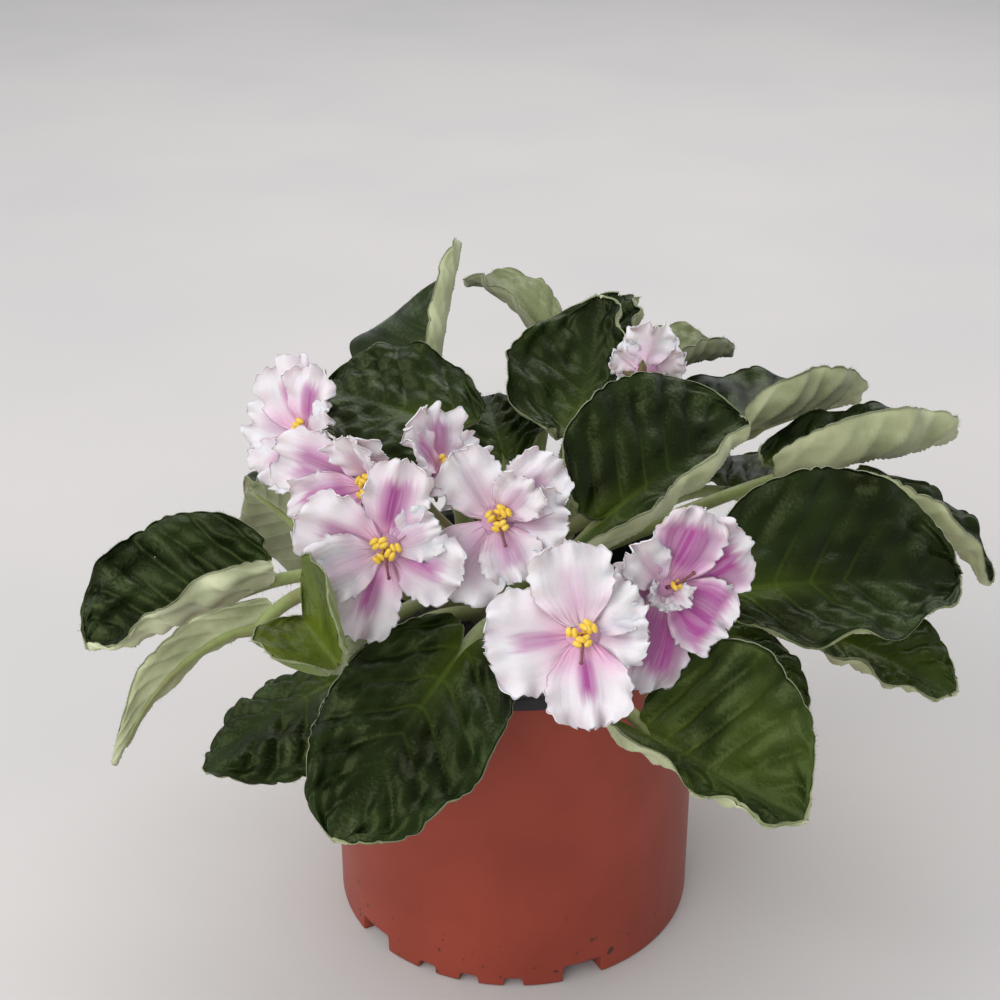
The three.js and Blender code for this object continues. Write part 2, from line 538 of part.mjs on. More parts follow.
function potSolid() {
  const lipFoot = POT_HEIGHT - LIP_HEIGHT;
  const mouth = WALL_TOP_RADIUS - MOUTH_STEP;
  const outside = turned([[0, 0], [FOOT_RADIUS - FOOT_ROUNDING, 0], [FOOT_RADIUS, FOOT_ROUNDING],
    [WALL_TOP_RADIUS, lipFoot - LIP_BLEND], [WALL_TOP_RADIUS + 0.4, lipFoot - LIP_ROUNDING],
    [LIP_RADIUS - 0.4, lipFoot], [LIP_RADIUS, lipFoot + LIP_ROUNDING],
    [LIP_RADIUS, POT_HEIGHT - LIP_ROUNDING],
    [LIP_RADIUS - LIP_ROUNDING, POT_HEIGHT], [0, POT_HEIGHT]], POT_SIDES);
  const inside = turned([[0, POT_WALL], [FOOT_RADIUS - POT_WALL - 1, POT_WALL],
    [FOOT_RADIUS - POT_WALL, POT_WALL + 1], [WALL_TOP_RADIUS - POT_WALL, lipFoot - LIP_BLEND],
    [mouth, POT_HEIGHT], [mouth, POT_HEIGHT + 5], [0, POT_HEIGHT + 5]], POT_SIDES);
  const wide = footNotches(WIDE_NOTCH, 0);
  const small = footNotches(SMALL_NOTCH, 0);
  const hollow = inside
    .subtract(footNotches(WIDE_NOTCH, POT_WALL))
    .subtract(footNotches(SMALL_NOTCH, POT_WALL));
  return outside.subtract(wide).subtract(small).subtract(hollow).subtract(drainHoles());
}

function crownOutline(grow) {
  const foot = SOIL_MIDDLE_HEIGHT - CROWN_HOLE_DEPTH - grow;
  const outline = [[0, foot], [CROWN_RADIUS + grow, foot]];
  for (const share of [0, 0.34, 0.67, 1]) {
    const height = lerp(CROWN_SHOULDER, CROWN_TOP, share);
    outline.push([crownRadius(height) + grow, height]);
  }
  outline.push([0, CROWN_TOP + 1 + grow]);
  return outline;
}

function soilSolid() {
  const low = POT_WALL + GAP;
  const wall = POT_WALL + GAP + 0.1;
  const step = { radius: FOOT_RADIUS - WIDE_NOTCH.depth - wall, height: WIDE_NOTCH.height + wall };
  const top = WALL_TOP_RADIUS - wall;
  const body = turned([[0, low], [step.radius, low], [step.radius, step.height],
    [FOOT_RADIUS - wall, step.height], [top - 0.05, SOIL_EDGE_HEIGHT - 1], [top - 1.5, SOIL_EDGE_HEIGHT],
    [SOIL_FLAT_RADIUS, SOIL_MIDDLE_HEIGHT - 1], [0, SOIL_MIDDLE_HEIGHT]], SOIL_SIDES);
  return body.subtract(turned(crownOutline(GAP), CROWN_SIDES));
}

const materials = {
  pot: new THREE.MeshStandardMaterial({ color: 0x96483a, roughness: 0.45 }),
  soil: new THREE.MeshStandardMaterial({ color: 0x2b211b, roughness: 0.95 }),
  leaf: new THREE.MeshStandardMaterial({ color: 0x2c4a2a, roughness: 0.45 }),
  stalk: new THREE.MeshStandardMaterial({ color: 0x7c8c55, roughness: 0.6 }),
  petal: new THREE.MeshStandardMaterial({ color: 0xead9e6, roughness: 0.6 }),
  anther: new THREE.MeshStandardMaterial({ color: 0xd9b23a, roughness: 0.5 }),
};

const group = new THREE.Group();
group.add(meshOf('pot', potSolid(), materials.pot));
group.add(meshOf('soil', soilSolid(), materials.soil));
group.add(meshOf('crown', turned(crownOutline(0), CROWN_SIDES), materials.stalk));
for (const [name, leaf] of Object.entries(LEAVES)) {
  group.add(meshOf(name, leafSolid(leaf), materials.leaf));
}
for (const [name, spray] of Object.entries(SPRAYS)) {
  group.add(meshOf(name, spraySolid(spray), materials.stalk));
}
for (const [name, bloom] of Object.entries(BLOOMS)) {
  group.add(meshOf(name, corollaSolid(bloom), materials.petal));
  group.add(meshOf(name.replace('bloom', 'anthers'), antherSolid(bloom), materials.anther));
}

export default group;
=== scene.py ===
"""Dresses the potted African violet: its pot, soil, crown, leaves, flower sprays and blooms in fine mesh.

Sizes and places are in millimetres in the object's own frame, +Z up, with the origin on the ground in the
middle of the pot's foot and -Y the front. Each mesh is scaled to metres as it is made.
"""

import logging
import math
from dataclasses import dataclass
from enum import Enum
from typing import Any, ClassVar, Sequence

import bpy
import numpy as np
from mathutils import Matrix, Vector

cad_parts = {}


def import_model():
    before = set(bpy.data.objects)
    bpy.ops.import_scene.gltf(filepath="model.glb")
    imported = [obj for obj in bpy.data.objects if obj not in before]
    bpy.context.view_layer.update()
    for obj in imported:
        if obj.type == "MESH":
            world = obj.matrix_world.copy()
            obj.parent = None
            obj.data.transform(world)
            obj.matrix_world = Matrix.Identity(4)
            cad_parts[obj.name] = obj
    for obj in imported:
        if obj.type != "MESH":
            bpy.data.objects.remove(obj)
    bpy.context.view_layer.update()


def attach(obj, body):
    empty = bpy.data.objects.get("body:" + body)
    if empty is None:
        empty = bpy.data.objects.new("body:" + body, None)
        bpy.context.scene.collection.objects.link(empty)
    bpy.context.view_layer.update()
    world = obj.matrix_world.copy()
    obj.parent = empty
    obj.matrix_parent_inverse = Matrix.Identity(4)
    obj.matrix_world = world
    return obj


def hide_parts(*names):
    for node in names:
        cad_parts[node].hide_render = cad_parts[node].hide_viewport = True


LOG = logging.getLogger("violet")
METRES = 0.001
UP = np.array([0.0, 0.0, 1.0])
CROWN_RADIUS = 8.0
CROWN_SHOULDER = 80.0
CROWN_TOP = 95.0
CROWN_TAPER = 3.5

Array = np.ndarray
Point = Sequence[float] | Array
Colour = tuple[float, float, float]


def smooth(low: float, high: float, value: Any) -> Any:
    """Runs from 0 at low to 1 at high with a soft start and end."""
    share = np.clip((value - low) / (high - low), 0, 1)
    return share * share * (3 - 2 * share)


def unit(vectors: Array) -> Array:
    """Gives vectors, along the last axis, scaled to length 1."""
    return vectors / np.maximum(np.linalg.norm(vectors, axis=-1, keepdims=True), 1e-9)


def linear(red: int, green: int, blue: int) -> Colour:
    """Turns a screen colour, from 0 to 255, into the light values that a shader takes."""
    shares = [part / 255 for part in (red, green, blue)]
    return tuple(share / 12.92 if share < 0.04 else ((share + 0.055) / 1.055) ** 2.4 for share in shares)


def bezier(points: Sequence[Array], count: int) -> Array:
    """Walks along a cubic curve.

    Args:
        points: Its start, its two handles and its end.
        count: How many points to give.

    Returns:
        The points from start to end.
    """
    u = np.linspace(0, 1, count)[:, None]
    start, leave, arrive, end = points
    return (1 - u) ** 3 * start + 3 * u * (1 - u) ** 2 * leave + 3 * u * u * (1 - u) * arrive + u ** 3 * end


def grid(rows: int, columns: int) -> tuple[Array, Array]:
    """Gives the shares of the length and of the half width at each point of a plain net."""
    return np.meshgrid(np.linspace(0, 1, rows), np.linspace(-1, 1, columns), indexing="ij")


def lathe(outline: Array, angle: Array) -> Array:
    """Gives the points at radii and heights, in the outline's last axis, turned about the pot's axis."""
    radius = outline[..., 0]
    return np.stack([radius * np.cos(angle), radius * np.sin(angle), outline[..., 1]], axis=-1)


class Form:
    """A mesh in the making: its points, its faces with their finish, and what a shader reads at a point."""

    def __init__(self) -> None:
        """Starts with nothing."""
        self.points: list[Array] = []
        self.places: list[Array] = []
        self.tints: list[Array] = []
        self.faces: list[list[int]] = []
        self.slots: list[int] = []
        self.count = 0

    def add_points(self, points: Array, place: Any = (0, 0, 0), tint: Any = (0, 0, 0)) -> Array:
        """Adds points.

        Args:
            points: Their places in millimetres.
            place: What the shader reads as place, for all or for each.
            tint: What the shader reads as tint, for all or for each.

        Returns:
            The numbers of the points, in the shape that they came in.
        """
        shape = points.shape[:-1]
        flat = points.reshape(-1, 3)
        self.points.append(flat)
        self.places.append(np.broadcast_to(place, points.shape).reshape(-1, 3))
        self.tints.append(np.broadcast_to(tint, points.shape).reshape(-1, 3))
        numbers = np.arange(self.count, self.count + len(flat)).reshape(shape)
        self.count += len(flat)
        return numbers

    def add_faces(self, corners: Array, slot: int) -> None:
        """Adds faces.

        Args:
            corners: The numbers of each face's corners, a row for each face.
            slot: The finish that they take.
        """
        rows = corners.reshape(-1, corners.shape[-1]).tolist()
        self.faces += rows
        self.slots += [slot] * len(rows)

    def add_net(self, net: Array, slot: int, ring: bool = False, skip: Array | None = None) -> None:
        """Joins a net of points with four-cornered faces.

        Args:
            net: The numbers of the points, in rows.
            slot: The finish that the faces take.
            ring: Whether each row closes on itself.
            skip: Which faces are left open, if any are.
        """
        if ring:
            net = np.concatenate([net, net[:, :1]], axis=1)
        quads = np.stack([net[:-1, :-1], net[:-1, 1:], net[1:, 1:], net[1:, :-1]], axis=-1)
        self.add_faces(quads if skip is None else quads[~skip], slot)

    def add_cap(self, tip: Any, ring: Array, slot: int, place: Any = (0, 0, 0)) -> None:
        """Closes a ring of numbered points with a fan of faces that meet in the tip."""
        top = self.add_points(np.array(tip, float)[None], place)
        self.add_faces(np.stack([np.full(len(ring), top[0]), ring, np.roll(ring, -1)], axis=-1), slot)

    def add_sheet(self, middle: Array, thickness: Array, reliefs: tuple[Array, Array], slots: Sequence[int],
                  places: tuple[Array, Array], tint: Any) -> tuple[Array, Array]:
        """Adds a closed sheet with a rounded rim.

        Args:
            middle: The points of its middle surface, from base to tip and from left to right.
            thickness: How thick it is at each point.
            reliefs: How far the upper and the under side stand out at each point.
            slots: The finishes of the upper side, the under side and the rim.
            places: What the shader reads on the upper and on the under side.
            tint: The shader's tint, for the whole sheet or for each point.

        Returns:
            The points of the upper side, and the way out of it at each.
        """
        tint = np.broadcast_to(tint, middle.shape)
        down_rows = np.gradient(middle, axis=0)
        along_rows = np.gradient(middle, axis=1)
        normal = unit(np.cross(along_rows, down_rows))
        upper = middle + normal * (thickness / 2 + reliefs[0])[..., None]
        under = middle - normal * (thickness / 2 + reliefs[1])[..., None]
        top = self.add_points(upper, places[0], tint)
        bottom = self.add_points(under, places[1], tint)
        self.add_net(top, slots[0])
        self.add_net(bottom[:, ::-1], slots[1])
        edge = [(slice(0, 1), slice(0, -1)), (slice(0, -1), slice(-1, None)),
                (slice(-1, None), slice(-1, 0, -1)), (slice(-1, 0, -1), slice(0, 1))]

        def rim(values: Array) -> Array:
            """Gives the values along the sheet's outline."""
            runs = [values[rows, columns].reshape(-1, *values.shape[2:]) for rows, columns in edge]
            return np.concatenate(runs)

        inside = np.pad(middle[1:-1, 1:-1], ((1, 1), (1, 1), (0, 0)), mode="edge")
        outward = unit(rim(middle) - rim(inside))
        centre = (rim(upper) + rim(under)) / 2 + outward * (0.45 * rim(thickness))[:, None]
        brink = self.add_points(centre, rim(places[1]), rim(tint))
        rings = np.stack([rim(top), brink, rim(bottom)])
        self.add_net(rings, slots[2], ring=True)
        return upper, normal

    def add_stem(self, path: Array, radii: Array, sides: int, slot: int, length: Array | None = None,
                 mark: float = 0.0) -> None:
        """Adds a round stem with closed ends.

        Args:
            path: The points of its middle line.
            radii: Its radius at each of them.
            sides: How many sides it has.
            slot: The finish that it takes.
            length: How far along the piece each point is, for the shader, or nothing for the stem's own.
            mark: The third number of the place that the shader reads.
        """
        tangents = unit(np.gradient(path, axis=0))
        normal = UP if abs(tangents[0][2]) < 0.9 else np.array([1.0, 0.0, 0.0])
        angles = np.arange(sides) * 2 * math.pi / sides
        rings = []
        for point, tangent, radius in zip(path, tangents, radii):
            normal = unit(normal - tangent * normal.dot(tangent))
            other = np.cross(tangent, normal)
            spokes = np.outer(np.cos(angles), normal) + np.outer(np.sin(angles), other)
            rings.append(point + radius * spokes)
        share = np.linspace(0, 1, len(path)) if length is None else length
        place = np.zeros((len(path), sides, 3))
        place[..., 0] = share[:, None]
        place[..., 1] = angles[None, :]
        place[..., 2] = mark
        net = self.add_points(np.array(rings), place)
        self.add_net(net, slot, ring=True)
        self.add_cap(path[0], net[0][::-1], slot, place[0, 0])
        self.add_cap(path[-1], net[-1], slot, place[-1, 0])

    def add_hairs(self, roots: Array, ways: Array, lengths: Array, radius: float, slot: int) -> None:
        """Adds thin pointed hairs, each a closed spike on three sides.

        Args:
            roots: Where each hair stands.
            ways: The way that each points.
            lengths: How long each is.
            radius: How thick the hairs are at the root.
            slot: The finish that they take.
        """
        ways = unit(ways)
        aside = unit(np.cross(ways, np.array([0.31, 0.52, 0.79])))
        other = np.cross(ways, aside)
        corners = [roots - 0.15 * ways + radius * (math.cos(a) * aside + math.sin(a) * other)
                   for a in (0, 2 * math.pi / 3, 4 * math.pi / 3)]
        corners.append(roots + ways * lengths[:, None])
        a, b, c, tip = (self.add_points(corner) for corner in corners)
        for face in ((a, b, tip), (b, c, tip), (c, a, tip), (c, b, a)):
            self.add_faces(np.stack(face, axis=-1), slot)

    def add_hairs_along(self, path: Array, radii: Array, lengths: tuple[float, float, int],
                        lean: float, radius: float, slot: int, seed: np.random.Generator) -> None:
        """Adds hairs all round a stem.

        Args:
            path: The points of the stem's middle line.
            radii: Its radius at each of them.
            lengths: The least and the greatest length of a hair, and how many hairs there are.
            lean: How much they lean along the stem.
            radius: How thick they are at the root.
            slot: The finish that they take.
            seed: The source of random numbers.
        """
        shortest, longest, count = lengths
        spots = seed.uniform(0, len(path) - 1.01, count)
        low = spots.astype(int)
        tangent = unit(path[low + 1] - path[low])
        middle = path[low] + (path[low + 1] - path[low]) * (spots - low)[:, None]
        ways = seed.normal(0, 1, (count, 3))
        ways = unit(ways - tangent * np.sum(ways * tangent, axis=1, keepdims=True))
        self.add_hairs(middle + ways * radii[low][:, None] * 0.95, ways + tangent * lean,
                       seed.uniform(shortest, longest, count), radius, slot)

    def add_ball(self, centre: Array, axes: Array, slot: int, rings: int = 8, sides: int = 12) -> None:
        """Adds a rounded lump.

        Args:
            centre: Its middle.
            axes: Its three half axes, one in each row.
            slot: The finish that it takes.
            rings: How many rings it has from pole to pole.
            sides: How many sides each ring has.
        """
        tilt = np.linspace(0, math.pi, rings + 1)[1:-1, None]
        turn = np.linspace(0, 2 * math.pi, sides, endpoint=False)[None, :]
        shares = np.stack([np.sin(tilt) * np.cos(turn), np.sin(tilt) * np.sin(turn),
                           np.cos(tilt) * np.ones_like(turn)], axis=-1)
        net = self.add_points(centre + shares @ axes)
        self.add_net(net[::-1], slot, ring=True)
        for pole, ring in ((axes[2], net[0]), (-axes[2], net[-1][::-1])):
            self.add_cap(centre + pole, ring, slot)

    def make(self, name: str, finishes: Sequence[bpy.types.Material]) -> bpy.types.Object:
        """Turns the form into an object.

        Args:
            name: The object's name.
            finishes: The material of each slot.

        Returns:
            The object, at its place in the scene.
        """
        mesh = bpy.data.meshes.new(name)
        mesh.from_pydata((np.concatenate(self.points) * METRES).tolist(), [], self.faces)
        for label, values in (("place", self.places), ("tint", self.tints)):
            attribute = mesh.attributes.new(label, "FLOAT_VECTOR", "POINT")
            attribute.data.foreach_set("vector", np.concatenate(values).astype(np.float32).ravel())
        for finish in finishes:
            mesh.materials.append(finish)
        mesh.polygons.foreach_set("material_index", self.slots)
        mesh.polygons.foreach_set("use_smooth", [True] * len(self.faces))
        mesh.update()
        piece = bpy.data.objects.new(name, mesh)
        bpy.context.scene.collection.objects.link(piece)
        return piece


class Recipe:
    """Builds the nodes of one material."""

    def __init__(self, name: str) -> None:
        """Starts a material.

        Args:
            name: The material's name.
        """
        self.material = bpy.data.materials.new(name)
        self.material.use_nodes = True
        self.tree = self.material.node_tree
        self.shader = self.tree.nodes["Principled BSDF"]

    def put(self, kind: str, inputs: dict[Any, Any], **settings: Any) -> bpy.types.Node:
        """Adds a node.

        Args:
            kind: The node's type.
            inputs: A value or another node's output for each input, by its name or number.
            settings: The node's own settings.

        Returns:
            The node.
        """
        node = self.tree.nodes.new(kind)
        for key, value in settings.items():
            setattr(node, key, value)
        for key, value in inputs.items():
            if isinstance(value, bpy.types.NodeSocket):
                self.tree.links.new(value, node.inputs[key])
            else:
                node.inputs[key].default_value = value
        return node

    def math(self, operation: str, first: Any, second: Any = 0.0) -> bpy.types.NodeSocket:
        """Adds a node for a sum, by Blender's name of it, and gives its result."""
        return self.put("ShaderNodeMath", {0: first, 1: second}, operation=operation).outputs[0]

    def step(self, value: Any, low: float, high: float) -> bpy.types.NodeSocket:
        """Gives 0 below low and 1 above high, with a soft run between."""
        inputs = {"Value": value, "From Min": low, "From Max": high}
        return self.put("ShaderNodeMapRange", inputs, interpolation_type="SMOOTHSTEP").outputs[0]

    def blend(self, share: Any, low: Any, high: Any) -> bpy.types.NodeSocket:
        """Mixes two colours.

        Args:
            share: The share of the second.
            low: The first colour.
            high: The second colour.

        Returns:
            The mixed colour.
        """
        colours = [(*colour, 1) if isinstance(colour, tuple) else colour for colour in (low, high)]
        node = self.put("ShaderNodeMix", {0: share, 6: colours[0], 7: colours[1]}, data_type="RGBA")
        return node.outputs[2]

    def read(self, name: str) -> list[bpy.types.NodeSocket]:
        """Reads the three parts of one of the mesh's own values."""
        source = self.put("ShaderNodeAttribute", {}, attribute_name=name)
        return list(self.put("ShaderNodeSeparateXYZ", {0: source.outputs["Vector"]}).outputs)

    def grain(self, size: float, detail: float = 2.0, where: Any = None) -> bpy.types.NodeSocket:
        """Gives an even mottle between 0 and 1.

        Args:
            size: How large its blots are, in millimetres.
            detail: How many finer layers it has.
            where: The place to read, or nothing for the object's own.

        Returns:
            The mottle's height.
        """
        place = self.put("ShaderNodeTexCoord", {}).outputs["Object"] if where is None else where
        scale = 1 / (size * METRES) if where is None else 1 / size
        return self.put("ShaderNodeTexNoise", {"Vector": place, "Scale": scale, "Detail": detail}).outputs[0]

    def times(self, first: Any, second: Any) -> bpy.types.NodeSocket:
        """Multiplies two values."""
        return self.math("MULTIPLY", first, second)

    def plus(self, first: Any, second: Any) -> bpy.types.NodeSocket:
        """Adds two values."""
        return self.math("ADD", first, second)

    def fall(self, value: Any, low: float, high: float) -> bpy.types.NodeSocket:
        """Gives 1 below low and 0 above high, with a soft run between."""
        return self.math("SUBTRACT", 1.0, self.step(value, low, high))

    def wave(self, phase: Any) -> bpy.types.NodeSocket:
        """Gives humps from 0 to 1, one for each whole number of the phase."""
        return self.math("ABSOLUTE", self.math("SINE", self.times(phase, math.pi)))

    def cells(self, size: float) -> bpy.types.NodeSocket:
        """Gives small rounded cells, in millimetres, as the distance from the middle of each."""
        place = self.put("ShaderNodeTexCoord", {}).outputs["Object"]
        return self.put("ShaderNodeTexVoronoi", {"Vector": place, "Scale": 1 / (size * METRES)}).outputs[0]

    def bump(self, height: Any, depth: float, strength: float = 1.0) -> None:
        """Gives the surface a fine relief, whose height of 1 measures the depth in millimetres."""
        inputs = {"Height": height, "Distance": depth * METRES, "Strength": strength}
        self.tree.links.new(self.put("ShaderNodeBump", inputs).outputs[0], self.shader.inputs["Normal"])

    def finish(self, colour: Any, roughness: Any, **values: Any) -> None:
        """Sets the shader's sockets.

        Args:
            colour: The colour, or the output that gives it.
            roughness: The roughness, or the output that gives it.
            values: Other sockets by name, with _ for a space.
        """
        sockets = {"Base Color": colour, "Roughness": roughness}
        sockets.update({key.replace("_", " "): value for key, value in values.items()})
        for key, value in sockets.items():
            if isinstance(value, bpy.types.NodeSocket):
                self.tree.links.new(value, self.shader.inputs[key])
            else:
                self.shader.inputs[key].default_value = value


class Finish:
    """What a piece's surface is made of."""

    def paint(self, book: Recipe) -> None:
        """Sets up its nodes in the material in the making, as each finish does in its own way."""
        raise NotImplementedError

    def make(self, name: str) -> bpy.types.Material:
        """Makes a material with this finish.

        Args:
            name: The material's name.

        Returns:
            The material.
        """
        book = Recipe(name)
        self.paint(book)
        return book.material


@dataclass(frozen=True)
class PlasticFinish(Finish):
    """The thin formed plastic of the pot."""

    colour: Colour
    dull: Colour
    roughness: float
    dirt: Colour = linear(62, 44, 36)

    def paint(self, book: Recipe) -> None:
        """Sets up its nodes.

        Args:
            book: The material in the making.
        """
        cloud = book.grain(22, 3)
        dust = book.step(book.grain(0.9, 4), 0.56, 0.8)
        colour = book.blend(book.step(cloud, 0.3, 0.75), self.colour, self.dull)
        height = book.put("ShaderNodeSeparateXYZ", {0: book.put("ShaderNodeTexCoord", {}).outputs["Object"]})
        low = book.fall(height.outputs[2], 0.0, 0.03)
        speck = book.times(book.step(book.grain(2.2, 1), 0.7, 0.74), low)
        dirt = book.math("MAXIMUM", book.times(dust, 0.16), speck)
        colour = book.blend(dirt, colour, self.dirt)
        rough = book.plus(book.times(cloud, 0.14), self.roughness)
        book.bump(book.grain(3.5, 4), 0.12, 0.5)
        book.finish(colour, rough, Specular_IOR_Level=0.3)


@dataclass(frozen=True)
class EarthFinish(Finish):
    """Dark peat, moist and crumbly."""

    dark: Colour = linear(26, 19, 15)
    light: Colour = linear(66, 50, 38)

    def paint(self, book: Recipe) -> None:
        """Sets up its nodes.

        Args:
            book: The material in the making.
        """
        colour = book.blend(book.step(book.grain(1.6, 5), 0.42, 0.72), self.dark, self.light)
        book.bump(book.grain(0.7, 5), 0.5)
        book.finish(colour, book.plus(book.times(book.grain(4), 0.2), 0.78))


@dataclass(frozen=True)
class LeafFinish(Finish):
    """The velvety upper side of a leaf, with a bright midrib, side veins that part its quilts, and a painted
    sheen on their crests.
    """

    deep: Colour
    fresh: Colour
    rib: Colour
    # The painted sheen: a pale highlight colour laid on the crests of the quilts, where the hairs would catch
    # the light
    painted_sheen: Colour = linear(78, 91, 60)
    roughness: float = 0.34

    def paint(self, book: Recipe) -> None:
        """Sets up its nodes.

        Args:
            book: The material in the making.
        """
        along, across, phase = book.read("place")
        tone = book.read("tint")[0]
        # The ground colour, and a painted sheen: pale highlight colour on the crests of the quilts, in
        # patches and fine glints
        cloud = book.plus(book.step(book.grain(12, 2), 0.3, 0.72), tone)
        colour = book.blend(cloud, self.deep, self.fresh)
        wave = book.wave(phase)
        sheen_share = book.times(book.step(wave, 0.3, 1.0), book.step(book.grain(15, 1), 0.46, 0.68))
        sheen_sparkle = book.plus(book.times(book.step(book.grain(0.8, 3), 0.4, 0.7), 0.4), 0.12)
        colour = book.blend(book.times(sheen_share, sheen_sparkle), colour, self.painted_sheen)
        # The side veins near the midrib
        vein = book.fall(wave, 0.04, 0.3)
        distance = book.math("ABSOLUTE", across)
        near = book.fall(distance, 0.5, 9.0)
        fade = book.fall(along, -0.05, 0.65)
        inner = book.fall(distance, 1.0, 17.0)
        short = book.fall(along, 0.2, 0.8)
        drawn = book.times(book.times(vein, inner), short)
        colour = book.blend(book.times(drawn, 0.2), colour, self.rib)
        # The midrib and the glow beside it
        line = book.fall(distance, 0.2, 1.4)
        glow = book.times(book.times(near, near), book.times(fade, fade))
        glow = book.times(glow, 0.45)
        ridge = book.times(line, book.times(book.math("POWER", fade, 2.0), 0.7))
        midrib = book.math("MAXIMUM", ridge, glow)
        colour = book.blend(midrib, colour, self.rib)
        # The fine grain of the skin
        pebbles = book.cells(0.9)
        height = book.plus(book.times(pebbles, -0.8), book.times(book.grain(0.5), 0.6))
        book.bump(height, 0.16, 0.5)
        rough = book.plus(book.times(book.grain(2.5, 3), 0.22), self.roughness - 0.1)
        book.finish(colour, rough, Specular_IOR_Level=0.3, Specular_Tint=(*linear(206, 222, 150), 1))


@dataclass(frozen=True)
class UndersideFinish(Finish):
    """The pale, finely felted underside of a leaf, with its raised veins a little lighter."""

    body: Colour
    shade: Colour
    rib: Colour = linear(184, 188, 156)

    def paint(self, book: Recipe) -> None:
        """Sets up its nodes.

        Args:
            book: The material in the making.
        """
        _, across, phase = book.read("place")
        colour = book.blend(book.step(book.grain(7, 3), 0.3, 0.75), self.body, self.shade)
        wave = book.wave(phase)
        vein = book.fall(wave, 0.04, 0.24)
        line = book.fall(book.math("ABSOLUTE", across), 0.3, 1.6)
        rib = book.times(book.math("MAXIMUM", book.times(vein, 0.5), line), 0.4)
        colour = book.blend(rib, colour, self.rib)
        book.bump(book.grain(0.45, 3), 0.14, 0.6)
        book.finish(colour, 0.62, Specular_IOR_Level=0.3, Sheen_Weight=0.15, Sheen_Roughness=0.5)


@dataclass(frozen=True)
class StalkFinish(Finish):
    """A fleshy green stalk with a reddish cast in blots."""

    green: Colour
    flush: Colour

    def paint(self, book: Recipe) -> None:
        """Sets up its nodes.

        Args:
            book: The material in the making.
        """
        along = book.read("place")[0]
        cloud = book.times(book.step(book.grain(5, 3), 0.4, 0.75), 0.6)
        share = book.math("MAXIMUM", cloud, book.math("SUBTRACT", 0.8, book.times(along, 1.6)))
        colour = book.blend(share, self.green, self.flush)
        book.bump(book.grain(0.6, 3), 0.15, 0.6)
        book.finish(colour, 0.48, Specular_IOR_Level=0.4, Sheen_Weight=0.25)


@dataclass(frozen=True)
class HairFinish(Finish):
    """The clear white hairs that cover the whole plant."""

    colour: Colour = linear(98, 110, 76)
    shade: Colour = linear(74, 88, 54)

    def paint(self, book: Recipe) -> None:
        """Sets up its nodes in the material in the making."""
        colour = book.blend(book.grain(2), self.colour, self.shade)
        book.finish(colour, 0.35)


@dataclass(frozen=True)
class PetalFinish(Finish):
    """A white petal with a magenta flame that runs out from the throat in fine lines, and painted shade in
    its creases.
    """

    white: Colour = linear(220, 218, 218)
    blush: Colour = linear(224, 164, 198)
    flame: Colour = linear(164, 78, 144)
    heart: Colour = linear(136, 58, 114)
    # The painted shade laid in the creases
    fold_shade_colour: Colour = linear(178, 168, 174)

    def paint(self, book: Recipe) -> None:
        """Sets up its nodes.

        Args:
            book: The material in the making.
        """
        along, across, strength = book.read("place")
        spread, seed, lift = book.read("tint")
        side = book.math("ABSOLUTE", across)
        # The flame, in fine lines, inside a pale border
        ray = book.put("ShaderNodeCombineXYZ", {0: book.times(across, 9.0), 1: along, 2: seed})
        lines = book.grain(1.0, 4, ray.outputs[0])
        soft = book.grain(6, 2)
        reach = book.math("SUBTRACT", book.plus(side, book.times(lines, 0.3)), 0.15)
        within = book.fall(book.math("DIVIDE", reach, spread), 0.25, 1.25)
        ends = book.plus(along, book.times(lines, 0.35))
        end = book.plus(book.times(spread, 0.25), 0.72)
        short = book.fall(book.math("SUBTRACT", ends, end), -0.06, 0.22)
        start = book.step(along, 0.02, 0.3)
        mask = book.times(book.times(within, short), book.times(start, strength))
        veins = book.plus(book.times(book.step(lines, 0.42, 0.62), 0.25), 0.82)
        brink = book.math("MAXIMUM", side, book.math("SUBTRACT", ends, 0.14))
        border = book.fall(brink, 0.74, 0.98)
        mask = book.times(book.times(mask, veins), border)
        # The blush, which is strongest near the throat
        throat = book.fall(along, 0.05, 0.62)
        wash = book.plus(book.times(throat, 0.7), book.times(soft, 0.2))
        wash = book.times(wash, book.plus(book.times(strength, 0.8), 0.35))
        colour = book.blend(wash, self.white, self.blush)
        colour = book.blend(mask, colour, self.flame)
        # The painted shade in the creases, greyer where the petal's lift is low, and the dark lines at the
        # heart
        painted_fold_share = book.fall(lift, -1.3, 0.4)
        colour = book.blend(book.times(painted_fold_share, 0.45), colour, self.fold_shade_colour)
        drop = book.fall(along, 0.06, 0.3)
        stripe = book.times(book.step(lines, 0.5, 0.64), drop)
        colour = book.blend(book.times(stripe, 0.55), colour, self.heart)
        height = book.plus(book.times(lines, 1.2), book.times(book.cells(0.35), -0.3))
        book.bump(height, 0.22, 0.5)
        book.finish(colour, 0.68, Specular_IOR_Level=0.15, Subsurface_Weight=0.2, Subsurface_Scale=0.002,
                    Sheen_Weight=0.08, Sheen_Roughness=0.45)


@dataclass(frozen=True)
class AntherFinish(Finish):
    """A small waxy part of the flower's heart, dusted in its own colour."""

    body: Colour
    dust: Colour

    def paint(self, book: Recipe) -> None:
        """Sets up its nodes.

        Args:
            book: The material in the making.
        """
        colour = book.blend(book.step(book.grain(0.8, 3), 0.35, 0.7), self.body, self.dust)
        book.bump(book.cells(0.25), 0.08, 0.6)
        book.finish(colour, 0.45, Specular_IOR_Level=0.4)


